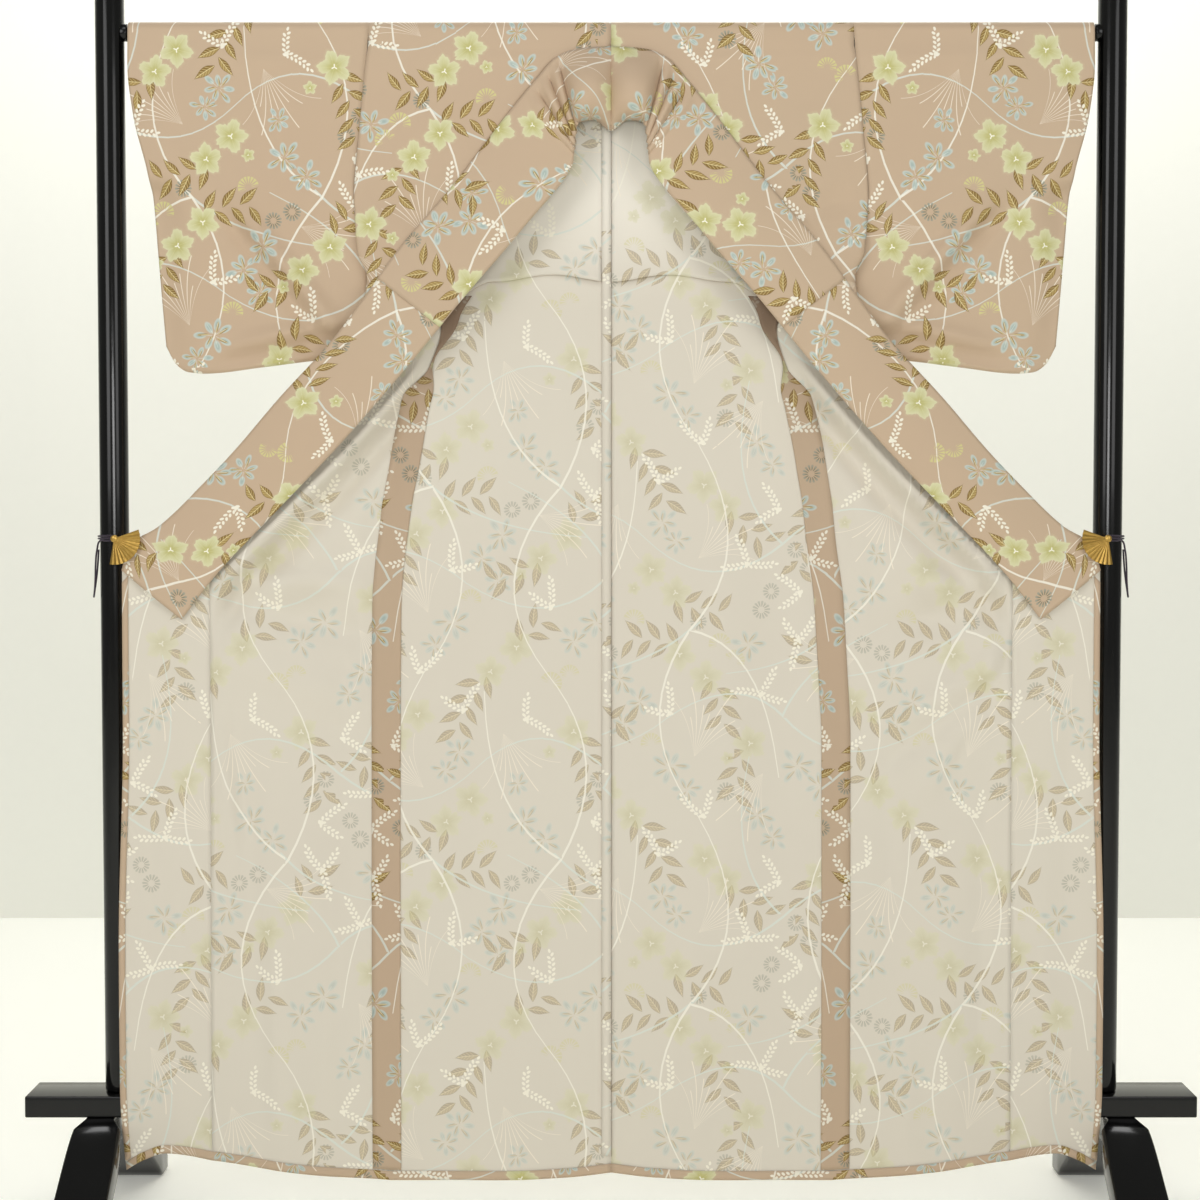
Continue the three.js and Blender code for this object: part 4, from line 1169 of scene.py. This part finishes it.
def paint_sprays(s, base):
    """Fans of fine curved blades of uneven length."""
    x, y, _ = s.field("spray")
    angle, r = polar(s, x, y)
    lane = angle / (0.82 + r * r * 0.5) * 6.5 + 100.5
    index = s.math("FLOOR", lane)
    reach = 0.74 + s.math("SINE", index * 2.3) * 0.22
    thin = s.math("MINIMUM", r * 0.011 + 0.0006, 0.0054)
    strand = s.below(abs(s.math("FRACT", lane) - 0.5) * r * 0.15, thin, 0.0025)
    strand = strand * s.below(r, reach, 0.01)
    strand = strand * s.below(abs(lane - 100.5), 4.0, 0.01)
    return s.mix(strand * 0.85, base, colour("efe5d3"))


def painted(s, base, *layers):
    for layer in layers:
        base = layer(s, base)
    return base


# How close the threads are, and how deep the weave is in metres.
THREADS = 420.0
WEAVE_DEPTH = 0.0004
WEAVE_STRENGTH = 0.12


def weave_bump(s):
    """Fine crossed threads of plain silk."""
    place = s.object_place()
    warp, weft = (
        Wire(s, s.node("ShaderNodeTexWave", {"bands_direction": direction}, Vector=place,
                       Scale=THREADS).outputs["Fac"])
        for direction in ("X", "Z")
    )
    bump = s.node("ShaderNodeBump", Strength=WEAVE_STRENGTH, Distance=WEAVE_DEPTH,
                  Height=warp + weft)
    return Wire(s, bump.outputs[0])


def shaded(s, base):
    """Inner layers lie in the shade of the outer ones."""
    return s.mix(s.attribute("shade", "Fac"), base, colour("5f4634"))


def silk(s, base, roughness):
    return s.finish(Base_Color=shaded(s, base), Roughness=roughness, Normal=weave_bump(s),
                    Sheen_Weight=0.12, Sheen_Roughness=0.4, Specular_IOR_Level=0.35)


def silk_face():
    s = Shader("silk_face")
    cloud = s.noise(s.object_place(), 3.0, 1.0)
    ground = s.mix(cloud * 0.35, GROUND, colour("c2a088"))
    base = painted(s, ground, paint_stems, paint_sprays, paint_wheels, paint_half_wheels,
                   paint_rosettes, paint_leaves, paint_flowers, paint_bush_clover)
    return silk(s, base, 0.6 + cloud * 0.08)


def silk_reverse():
    """The print shows through pale, and its white grasses and clover as strongly as in front."""
    s = Shader("silk_reverse")
    cloud = s.noise(s.object_place(), 2.5, 1.0)
    ground = s.mix(cloud * 0.4, REVERSE, colour("d1c5b7"))
    height = s.split(s.object_place())[2]
    # Painted light: the cloth inside the neck is paler above that height.
    ground = s.mix(s.below(NECK_PAINTED_LIGHT, height, 0.09) * 0.6, ground, colour("f3eee3"))
    ghost = painted(s, ground, paint_wheels, paint_half_wheels, paint_rosettes, paint_leaves)
    ghost = s.mix(0.48, ground, ghost)
    ghost = s.mix(0.4, ghost, paint_flowers(s, ghost))
    ghost = painted(s, ghost, paint_stems, paint_sprays, paint_bush_clover)
    return silk(s, ghost, 0.62 + cloud * 0.08)


def black_lacquer():
    s = Shader("black_lacquer")
    place = s.object_place()
    haze = s.noise(place, 14.0)
    base = s.mix(haze * 0.5, colour("060606"), colour("0c0b0b"))
    bump = s.node("ShaderNodeBump", Strength=0.05, Distance=0.0006, Height=s.noise(place, 60.0))
    return s.finish(Base_Color=base, Roughness=0.1 + haze * 0.12, Normal=Wire(s, bump.outputs[0]),
                    Specular_IOR_Level=0.3, Coat_Weight=0.15, Coat_Roughness=0.06)


def gilt():
    s = Shader("gilt")
    place = s.object_place()
    worn = s.noise(place, 220.0)
    base = s.mix(worn * 0.7, colour("c9a55a"), colour("8f6f35"))
    bump = s.node("ShaderNodeBump", Strength=0.25, Distance=0.0003, Height=s.noise(place, 500.0))
    return s.finish(Base_Color=base, Metallic=1.0, Roughness=0.26 + worn * 0.2,
                    Normal=Wire(s, bump.outputs[0]))


def twisted_cord():
    s = Shader("twisted_cord")
    place = s.object_place()
    wave = s.node("ShaderNodeTexWave", {"bands_direction": "DIAGONAL"}, Vector=place, Scale=260.0,
                  Distortion=2.0)
    strand = Wire(s, wave.outputs["Fac"])
    bump = s.node("ShaderNodeBump", Strength=0.6, Distance=0.0004, Height=strand)
    return s.finish(Base_Color=s.mix(strand, colour("1d1420"), colour("3a2a3e")), Roughness=0.75,
                    Normal=Wire(s, bump.outputs[0]), Sheen_Weight=0.2)


MATERIALS = {
    "silk_face": silk_face(),
    "silk_reverse": silk_reverse(),
    "black_lacquer": black_lacquer(),
    "gilt": gilt(),
    "cord": twisted_cord(),
}


def fitted(piece, slot, *nodes):
    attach(piece, "root")
    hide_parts(*nodes)
    return piece


# Cords that tie the clips to the posts

CLIP_Z = 968
CORD_RADIUS = 1.3
CORD_CLEAR = 0.7
CORD_TURNS = 2.3
CORD_TURN_POINTS = 24
CORD_PITCH = 3.4
CORD_START = -108
# The hanging loop: how far out from the turns, forward and down.
CORD_LOOP = [
    (1, 8, 12), (3, 9, 34), (4, 8, 56), (6, 5, 72), (8, 0, 78), (8, -5, 70), (6, -8, 52),
    (4, -9, 30), (3, -10, 12),
]


def cord_route(sign):
    """Turns round the post, and then a hanging loop whose end goes back to the knot."""
    radius = POST_RADIUS + CORD_RADIUS + CORD_CLEAR
    wrap = np.linspace(0, 1, CORD_TURN_POINTS)
    angle = np.radians(CORD_START + 360 * CORD_TURNS * wrap)
    height = CLIP_Z + CORD_PITCH * (CORD_TURNS / 2 - CORD_TURNS * wrap)
    route = points(POST_X + radius * np.cos(angle), radius * np.sin(angle), height)
    last = height[-1]
    loop = np.array([(POST_X + radius + out, -forward, last - drop)
                     for out, forward, drop in CORD_LOOP])
    route = np.concatenate([route[:-1], loop])
    route[:, 0] *= sign
    return route * MM


def clip_cord(side, sign):
    route = cord_route(sign)
    curve = bpy.data.curves.new(f"tie_cord_{side}", "CURVE")
    curve.dimensions = "3D"
    curve.bevel_depth = CORD_RADIUS * MM
    curve.bevel_resolution = 4
    curve.use_fill_caps = True
    spline = curve.splines.new("BEZIER")
    spline.bezier_points.add(len(route) - 1)
    for point, place in zip(spline.bezier_points, route):
        point.co = place
        point.handle_left_type = point.handle_right_type = "AUTO"
    cord = bpy.data.objects.new(f"tie_cord_{side}", curve)
    bpy.context.collection.objects.link(cord)
    curve.materials.append(MATERIALS["cord"])
    fitted(cord, "cord", f"clip_cord_{side}")


for side, sign in SIDES.items():
    clip_cord(side, sign)


# Shells of cloth

def grid_normals(grid, ring):
    if ring:
        along = np.roll(grid, -1, axis=1) - np.roll(grid, 1, axis=1)
    else:
        padded = np.concatenate([grid[:, :1], grid, grid[:, -1:]], axis=1)
        along = padded[:, 2:] - padded[:, :-2]
    padded = np.concatenate([grid[:1], grid, grid[-1:]], axis=0)
    down = padded[2:] - padded[:-2]
    normal = np.cross(along, down)
    return normal / np.maximum(np.linalg.norm(normal, axis=-1, keepdims=True), 1e-9)


# A quad's corners the other way round, from the same first corner, so both layers split alike.
TURNED = [0, 3, 2, 1]


def grid_quads(rows, columns, ring):
    """The corner numbers of a grid's cells, row by row."""
    cells = columns if ring else columns - 1
    i, j = np.meshgrid(np.arange(rows - 1), np.arange(cells), indexing="ij")
    after = (j + 1) % columns
    low, high = i * columns, (i + 1) * columns
    return np.stack([low + j, low + after, high + after, high + j], axis=-1).reshape(-1, 4)


def grid_rims(rows, columns, ring):
    """The corner numbers of the narrow faces that join both layers along the open edges."""
    count = rows * columns
    last = count - columns
    steps = [(j, (j + 1) % columns) for j in range(columns if ring else columns - 1)]
    rims = [(a, a + count, b + count, b) for a, b in steps]
    rims += [(last + b, last + b + count, last + a + count, last + a) for a, b in steps]
    if not ring:
        for a in range(0, last, columns):
            b = a + columns
            rims.append((b, b + count, a + count, a))
            a, b = b - 1, b + columns - 1
            rims.append((a, a + count, b + count, b))
    return np.array(rims)


def corner_places(cloth, quads, rims):
    """The flat cloth's place at every face corner. The cells that close a ring lie on the seam,
    and have one place for all their corners."""
    flat = cloth.reshape(-1, 2)
    cells = flat[quads]
    closing = quads[:, 1] < quads[:, 0]
    cells[closing] = cells[closing][:, :1]
    return np.concatenate([cells, cells[:, TURNED], flat[rims % len(flat)]])


def add_attributes(mesh, places, depth):
    for name, values in print_fields(places).items():
        layer = mesh.attributes.new(name, "FLOAT_VECTOR", "CORNER")
        layer.data.foreach_set("vector", values.reshape(-1).astype(np.float32))
    layer = mesh.attributes.new("shade", "FLOAT", "CORNER")
    layer.data.foreach_set("value", depth.reshape(-1).astype(np.float32))


def shell(name, grid, side, cloth, faces, lift=0.0, ring=False, thickness=CLOTH, shade=0.0):
    """A thin shell on a grid. `cloth` gives each point's place on the flat cloth, and `faces` the
    materials of the side that the grid's normal points to and of the other. `shade` darkens the
    cloth of an inner layer, for the whole piece or for each point."""
    normal = grid_normals(grid, ring)
    layers = [grid + normal * (lift + thickness / 2 * k) for k in (1, -1)]
    vertices = np.concatenate([layer.reshape(-1, 3) for layer in layers]) * MM
    vertices[:, 0] *= SIDES[side]
    rows, columns = grid.shape[:2]
    quads = grid_quads(rows, columns, ring)
    rims = grid_rims(rows, columns, ring)
    corners = np.concatenate([quads, quads[:, TURNED] + rows * columns, rims])
    places = corner_places(cloth, quads, rims)
    if SIDES[side] < 0:
        corners = corners[:, ::-1]
        places = places[:, ::-1]
    # Painted shade for every face corner, which darkens the colour of inner layers.
    depth = np.tile(np.broadcast_to(shade, grid.shape[:2]).reshape(-1), 2)[corners]
    mesh = bpy.data.meshes.new(name)
    mesh.from_pydata(vertices.tolist(), [], corners.tolist())
    for face in faces:
        mesh.materials.append(MATERIALS[face])
    material = np.zeros(len(corners), int)
    material[len(quads):2 * len(quads)] = 1
    mesh.polygons.foreach_set("material_index", material)
    mesh.polygons.foreach_set("use_smooth", np.ones(len(corners), bool))
    add_attributes(mesh, places, depth)
    mesh.update()
    piece = bpy.data.objects.new(name, mesh)
    bpy.context.collection.objects.link(piece)
    return piece


def hanging_cloth(grid, start):
    """Flat cloth places of a panel that hangs straight, cut from a place on the repeat."""
    return grid[..., [0, 2]] + np.array(start, float)


def banded_cloth(grid, start):
    """Flat cloth places along and across a band."""
    steps = np.linalg.norm(np.diff(grid[:, :1], axis=0), axis=-1)
    run = np.concatenate([[0], np.cumsum(steps)])[:, None]
    across = np.linspace(0, COLLAR_WIDTH, grid.shape[1])[None, :]
    return np.stack(np.broadcast_arrays(across + start[0], run + start[1]), axis=-1)


FACE_OUT = ("silk_face", "silk_reverse")
FACE_IN = ("silk_reverse", "silk_face")
COLLAR_WIDTH = 112
COLLAR_END = 1014
# Where each piece is cut from the repeat.
BODY_START = {"left": (0, 0), "right": (140, 200)}
OKUMI_START = (90, 60)
SLEEVE_START = (50, 120)
COLLAR_START = (20, 30)
OVER_COLLAR_START = {"left": (130, 90), "right": (130, 280)}
STRIP_START = (70, 10)
CENTRE_START = (10, 300)


def add_body(side):
    grid = body_grid(side)
    piece = shell(f"body_{side}", grid, side, hanging_cloth(grid, BODY_START[side]), FACE_IN)
    fitted(piece, "silk_face", f"front_{side}", f"back_{side}")


def add_okumi(side):
    grid = okumi_grid(side)
    cloth = hanging_cloth(grid, OKUMI_START)
    piece = shell(f"okumi_panel_{side}", grid, side, cloth, FACE_OUT)
    fitted(piece, "silk_reverse", f"okumi_{side}")


def add_sleeve(side):
    grid = sleeve_grid(side)
    cloth = hanging_cloth(grid, SLEEVE_START)
    piece = shell(f"sleeve_cloth_{side}", grid, side, cloth, FACE_IN, ring=True)
    fitted(piece, "silk_face", f"sleeve_{side}")


def add_collar(side):
    band = collar_grid(COLLAR_END)
    cloth = banded_cloth(band, COLLAR_START)
    piece = shell(f"collar_band_{side}", band, side, cloth, FACE_OUT, thickness=1.8)
    fitted(piece, "silk_face", f"collar_{side}")
    upper = collar_grid(OVER_COLLAR_END)
    cloth = banded_cloth(upper, OVER_COLLAR_START[side])
    piece = shell(f"over_collar_band_{side}", upper, side, cloth, FACE_OUT, lift=LAYER,
                  thickness=1.4)
    fitted(piece, "silk_face", f"over_collar_{side}")


def add_tuck(side):
    grid = tuck_grid(side)
    piece = shell(f"tuck_{side}", grid, side, hanging_cloth(grid, BODY_START[side]), FACE_OUT)
    fitted(piece, "silk_reverse", f"waist_tuck_{side}")


def add_strips(side):
    """The allowances that are turned to the inside, with the printed face showing."""
    seam = side_strip_grid(side)
    for name, grid, size, shade in (
        ("side_seam_strip", seam, (0.044, 1.17), SEAM_CLOTH.shade(seam[..., 5:6, 2])),
        ("hem", hem_grid(side), (0.013, 0.69), 0.06),
        ("front_edge", front_edge_grid(side), (0.0105, 0.8), 0.04),
    ):
        piece = shell(f"{name}_cloth_{side}", grid, side, hanging_cloth(grid, STRIP_START), FACE_IN,
                      lift=-LAYER + 0.3, shade=shade)
        fitted(piece, "silk_face", f"{name}_{side}")


def add_centre_seam():
    grid = centre_strip_grid()
    cloth = hanging_cloth(grid, CENTRE_START)
    piece = shell("centre_seam_cloth", grid, "right", cloth, FACE_OUT, lift=-LAYER + 0.5)
    fitted(piece, "silk_reverse", "centre_seam_strip")


for side in SIDES:
    add_body(side)
    add_okumi(side)
    add_sleeve(side)
    add_collar(side)
    add_tuck(side)
    add_strips(side)
add_centre_seam()


# Stand, modelled from primitives

def primitive(name, call, **settings):
    bpy.ops.object.select_all(action="DESELECT")
    call(**settings)
    piece = bpy.context.object
    piece.name = name
    piece.data.name = name
    return piece


def settle(piece, angle=40):
    """The finished piece's place goes into its mesh, and its surface is smoothed."""
    bpy.ops.object.select_all(action="DESELECT")
    piece.select_set(True)
    bpy.context.view_layer.objects.active = piece
    bpy.ops.object.transform_apply(location=True, rotation=True, scale=True)
    bpy.ops.object.shade_smooth_by_angle(angle=math.radians(angle))
    return piece


def bevelled(piece, width, segments=3, limit=40):
    modifier = piece.modifiers.new("bevel", "BEVEL")
    modifier.width = width * MM
    modifier.segments = segments
    modifier.limit_method = "ANGLE"
    modifier.angle_limit = math.radians(limit)
    bpy.context.view_layer.objects.active = piece
    bpy.ops.object.modifier_apply(modifier=modifier.name)
    return piece


def dressed(piece, slot, *nodes):
    piece.data.materials.clear()
    piece.data.materials.append(MATERIALS[slot])
    return fitted(piece, slot, *nodes)


def bar(name, radius, start, end, axis, at):
    """A round bar along an axis."""
    turn = {"x": (0, math.pi / 2, 0), "z": (0, 0, 0)}[axis]
    middle = (start + end) / 2
    place = (middle, 0, at) if axis == "x" else (at, 0, middle)
    return primitive(name, bpy.ops.mesh.primitive_cylinder_add, vertices=64, radius=radius * MM,
                     depth=(end - start) * MM, location=[c * MM for c in place], rotation=turn)


def joined(name, *pieces):
    bpy.ops.object.select_all(action="DESELECT")
    for piece in pieces:
        piece.select_set(True)
    bpy.context.view_layer.objects.active = pieces[0]
    bpy.ops.object.join()
    pieces[0].name = name
    return pieces[0]


SOCKET_RADIUS = 12
SOCKET_FROM = POST_X - POST_RADIUS - 5
SOCKET_TO = POST_X - POST_RADIUS + 4
ROD_END = POST_X - POST_RADIUS - 1
BEAM_SIZE = (1.64, 0.076, 0.03)
BEAM_MIDDLE = BEAM_TOP - 15


def add_post(side, sign):
    post = bar(f"post_bar_{side}", POST_RADIUS, BEAM_TOP + 0.3, POST_TOP, "z", sign * POST_X)
    dressed(settle(bevelled(post, 3, 4)), "black_lacquer", f"post_{side}")


def add_socket(side, sign):
    socket = bevelled(bar(f"socket_{side}", SOCKET_RADIUS, SOCKET_FROM, SOCKET_TO, "x", ROD_Z), 1.2)
    socket.location.x *= sign
    dressed(settle(socket), "black_lacquer", f"rod_bracket_{side}")


def add_rod():
    middle = bar("rod", ROD_RADIUS, -ROD_THICK_HALF, ROD_THICK_HALF, "x", ROD_Z)
    bevelled(middle, 1)
    thin = bar("rod_core", ROD_END_RADIUS, -ROD_END, ROD_END, "x", ROD_Z)
    dressed(settle(joined("rod", middle, thin)), "black_lacquer", "hanging_rod")


def add_beam():
    beam = primitive("beam", bpy.ops.mesh.primitive_cube_add, size=1,
                     location=(0, 0, BEAM_MIDDLE * MM), scale=BEAM_SIZE)
    bpy.ops.object.transform_apply(location=False, rotation=False, scale=True)
    dressed(settle(bevelled(beam, 2.2, 3), 30), "black_lacquer", "base_beam")


FOOT_SECTIONS = Table(
    "y width top bottom",
    (0, 42, 157.7, 112), (40, 42, 157.7, 109), (56, 66, 149, 101), (90, 70, 126, 79),
    (135, 72, 92, 48), (175, 74, 61, 19), (200, 75, 44, 0), (236, 75, 24, 0),
)
# A foot starts as a block this wide and high. Finished corners wait this far up, in metres, clear
# of the ones still to be moved.
FOOT_BLOCK = 100
FOOT_LIFT = 1


def select_where(piece, test):
    """In edit mode, select the vertices whose place passes the test, in millimetres."""
    bpy.ops.mesh.select_all(action="DESELECT")
    work = bmesh.from_edit_mesh(piece.data)
    for vertex in work.verts:
        vertex.select_set(bool(test(*(c / MM for c in vertex.co))))
    work.select_flush(True)
    bmesh.update_edit_mesh(piece.data)


def foot_levels():
    """Where the foot is cut: its sections, and two places between each pair on the slope."""
    y = FOOT_SECTIONS.columns["y"]
    between = [mix(a, b, t) for a, b in zip(y[2:], y[3:]) for t in (1 / 3, 2 / 3)]
    return sorted([*y, *between])


def of_slice(level, half=0):
    """A test for a slice's corners: all of them, or its upper (1) or lower (-1) ones."""
    return lambda x, y, z: abs(abs(y) - level) < 0.5 and z * half >= 0


def add_foot(side, sign):
    """A bridge-shaped foot: a block cut into slices, each moved to its section's size."""
    length = 2 * FOOT_SECTIONS.last("y")
    piece = primitive(f"bridge_foot_{side}", bpy.ops.mesh.primitive_cube_add, size=1,
                      location=(0, 0, 0), scale=(FOOT_BLOCK * MM, length * MM, FOOT_BLOCK * MM))
    bpy.ops.object.transform_apply(location=True, rotation=True, scale=True)
    bpy.ops.object.mode_set(mode="EDIT")
    for level in foot_levels():
        for y in (level, -level):
            bpy.ops.mesh.select_all(action="SELECT")
            bpy.ops.mesh.bisect(plane_co=(0, y * MM, 0), plane_no=(0, 1, 0))
    for level in foot_levels():
        select_where(piece, of_slice(level))
        bpy.ops.transform.resize(value=(FOOT_SECTIONS.width(level) / FOOT_BLOCK, 1, 1),
                                 center_override=(0, 0, 0))
        for half, height in ((1, FOOT_SECTIONS.top(level)), (-1, FOOT_SECTIONS.bottom(level))):
            select_where(piece, of_slice(level, half))
            up = (height - half * FOOT_BLOCK / 2) * MM + FOOT_LIFT
            bpy.ops.transform.translate(value=(0, 0, up))
    bpy.ops.mesh.select_all(action="SELECT")
    bpy.ops.transform.translate(value=(sign * FOOT_X * MM, 0, -FOOT_LIFT))
    bpy.ops.object.mode_set(mode="OBJECT")
    dressed(settle(bevelled(piece, 4, 3, 50), 35), "black_lacquer", f"foot_{side}")


for side, sign in SIDES.items():
    add_post(side, sign)
    add_socket(side, sign)
    add_foot(side, sign)
add_rod()
add_beam()


# Clips

CLIP_X = 686
CLIP_RADIUS = 36
FAN_STEPS = 144
FAN_RINGS = (5, 12, 20, 28, CLIP_RADIUS)
FAN_FROM, FAN_TO = 160, 280
FAN_FORWARD = 41.9
FAN_WALL = 1.0
# How far a ridge stands out at the fan's edge, and the share of it halfway down its sides.
PLEAT = 1.6
PLEAT_STEPS = 4
PLEAT_SIDE = 0.55
BARREL_RADIUS = 3.2
BARREL_LENGTH = 21.3
BARREL_FORWARD = 33.25
KNOB_RADIUS = 5.2
KNOB_FORWARD = 42
KNOB_SCALE = (1, 0.45, 1)
JAW_SCALE = (0.014, 0.0022, 0.03)
JAW_INWARD = 11
JAW_FORWARD = 28.2
JAW_DOWN = 13


def fan_step(x, z):
    """Which of the fan's fine steps a place lies on."""
    return round(math.degrees(math.atan2(z, x)) % 360 * FAN_STEPS / 360, 3)


def on_rays(ring, *rays):
    """A test for one ring's corners on the given rays of each pleat."""
    return lambda x, y, z: (abs(math.hypot(x, z) - ring) < 0.3
                            and round(fan_step(x, z)) % PLEAT_STEPS in rays)


def outside_fan(x, y, z):
    return not FAN_FROM <= fan_step(x, z) * 360 / FAN_STEPS <= FAN_TO


def pleated_fan(name, root):
    """A ring of fine steps drawn out to a disc, its alternate rays pushed forward as pleats, and
    all but the fan's own angle cut away."""
    fan = primitive(name, bpy.ops.mesh.primitive_circle_add, vertices=FAN_STEPS,
                    radius=FAN_RINGS[0] * MM, location=(0, 0, 0), rotation=(math.pi / 2, 0, 0))
    bpy.ops.object.transform_apply(location=True, rotation=True, scale=True)
    bpy.ops.object.mode_set(mode="EDIT")
    bpy.ops.mesh.select_all(action="SELECT")
    for inner, outer in zip(FAN_RINGS, FAN_RINGS[1:]):
        bpy.ops.mesh.extrude_region_move()
        bpy.ops.transform.resize(value=(outer / inner, 1, outer / inner),
                                 center_override=(0, 0, 0))
    for ring in FAN_RINGS:
        for rays, share in (((1, 3), PLEAT_SIDE), ((2,), 1)):
            select_where(fan, on_rays(ring, *rays))
            bpy.ops.transform.translate(value=(0, -PLEAT * share * ring / CLIP_RADIUS * MM, 0))
    select_where(fan, outside_fan)
    bpy.ops.mesh.delete(type="VERT")
    bpy.ops.mesh.select_all(action="SELECT")
    if root[0] < 0:
        bpy.ops.transform.resize(value=(-1, 1, 1), center_override=(0, 0, 0))
    bpy.ops.transform.translate(value=root)
    bpy.ops.mesh.normals_make_consistent(inside=False)
    bpy.ops.object.mode_set(mode="OBJECT")
    wall = fan.modifiers.new("wall", "SOLIDIFY")
    wall.thickness = FAN_WALL * MM
    wall.offset = 0
    bpy.ops.object.modifier_apply(modifier=wall.name)
    return fan


def clip_barrel(x, z):
    barrel = primitive("barrel", bpy.ops.mesh.primitive_cylinder_add, vertices=32,
                       radius=BARREL_RADIUS * MM, depth=BARREL_LENGTH * MM,
                       location=(x, -BARREL_FORWARD * MM, z), rotation=(math.pi / 2, 0, 0))
    return bevelled(barrel, 0.8)


def clip_knob(x, z):
    knob = primitive("knob", bpy.ops.mesh.primitive_uv_sphere_add, segments=24, ring_count=12,
                     radius=KNOB_RADIUS * MM, location=(x, -KNOB_FORWARD * MM, z))
    knob.scale = KNOB_SCALE
    return knob


def clip_jaw(x, z, sign):
    jaw = primitive("jaw", bpy.ops.mesh.primitive_cube_add, size=1,
                    location=(x - sign * JAW_INWARD * MM, -JAW_FORWARD * MM, z - JAW_DOWN * MM),
                    rotation=(0, math.radians(sign * 45), 0))
    jaw.scale = JAW_SCALE
    return bevelled(jaw, 0.02)


def add_clip(side, sign):
    """A pleated fan, its jaw behind the cloth and the barrel between them."""
    x, z = sign * CLIP_X * MM, CLIP_Z * MM
    fan = pleated_fan(f"fan_clip_{side}", (x, -FAN_FORWARD * MM, z))
    clip = joined(f"fan_clip_{side}", fan, clip_barrel(x, z), clip_knob(x, z), clip_jaw(x, z, sign))
    dressed(settle(clip, 30), "gilt", f"clip_{side}")


for side, sign in SIDES.items():
    add_clip(side, sign)


# Floor, backdrop and light

# Places and sizes in metres. The floor lies just under the feet.
STAGE_SIZE = 12
FLOOR_Z = -0.001
WALL_Y = 2.2
STAGE_COLOUR = "f2f2ea"
FLOOR_GLOW = 0.25
WALL_GLOW = 0.02
# Each light's place, the point that it faces, its width and height, and its power in watts.
LIGHTS = {
    "left_box": ((-2.1, -3.0, 2.1), (0, 0, 1.35), (1.5, 2.0), 30),
    "right_box": ((2.1, -3.0, 2.1), (0, 0, 1.35), (1.5, 2.0), 25),
    "front_box": ((0, -3.3, 1.3), (0, 0, 1.4), (0.9, 0.7), 21),
    "top_box": ((-0.4, -1.6, 3.4), (0, 0, 1.2), (1.6, 1.0), 13),
    "wash": ((0, 1.0, 3.2), (0, 2.2, 1.2), (3.5, 0.8), 46),
}
ROOM_LIGHT = (0.97, 0.98, 0.92, 1)
ROOM_STRENGTH = 0.26


def one_sided(s, shader):
    """A surface that is seen from its front only, so the object can be looked at from behind."""
    behind = s.node("ShaderNodeNewGeometry").outputs["Backfacing"]
    clear = s.node("ShaderNodeBsdfTransparent")
    seen = s.node("ShaderNodeMixShader")
    output = s.node("ShaderNodeOutputMaterial")
    for source, target in (
        (behind, seen.inputs[0]), (shader.outputs[0], seen.inputs[1]),
        (clear.outputs[0], seen.inputs[2]), (seen.outputs[0], output.inputs[0]),
    ):
        s.tree.links.new(source, target)


def plain(name, glow):
    """Matt paper with a faint speckle."""
    s = Shader(name)
    speckle = s.noise(s.object_place(), 40.0)
    paper = colour(STAGE_COLOUR)
    shader = s.node("ShaderNodeBsdfPrincipled", Roughness=0.8, Emission_Strength=glow,
                    Base_Color=s.mix(speckle * 0.1, paper, colour("dcdcd4")),
                    Emission_Color=paper)
    one_sided(s, shader)
    return s.material


def add_stage():
    floor = primitive("floor", bpy.ops.mesh.primitive_plane_add, size=STAGE_SIZE,
                      location=(0, 0, FLOOR_Z))
    wall = primitive("backdrop", bpy.ops.mesh.primitive_plane_add, size=STAGE_SIZE,
                     location=(0, WALL_Y, 0), rotation=(math.pi / 2, 0, 0))
    for piece, glow in ((floor, FLOOR_GLOW), (wall, WALL_GLOW)):
        piece.data.materials.append(plain(piece.name, glow))
        settle(piece)


def area_light(name, place, aim, size, power):
    data = bpy.data.lights.new(name, "AREA")
    data.shape = "RECTANGLE"
    data.size, data.size_y = size
    data.energy = power
    light = bpy.data.objects.new(name, data)
    light.location = place
    x, y, z = np.array(aim, float) - np.array(place, float)
    light.rotation_euler = (math.atan2(math.hypot(x, y), -z), 0, math.atan2(y, x) - math.pi / 2)
    bpy.context.collection.objects.link(light)


def add_light():
    for name, light in LIGHTS.items():
        area_light(name, *light)
    world = bpy.data.worlds.new("studio")
    world.use_nodes = True
    background = world.node_tree.nodes["Background"]
    background.inputs["Color"].default_value = ROOM_LIGHT
    background.inputs["Strength"].default_value = ROOM_STRENGTH
    bpy.context.scene.world = world
    bpy.context.scene.view_settings.view_transform = "Standard"


add_stage()
add_light()
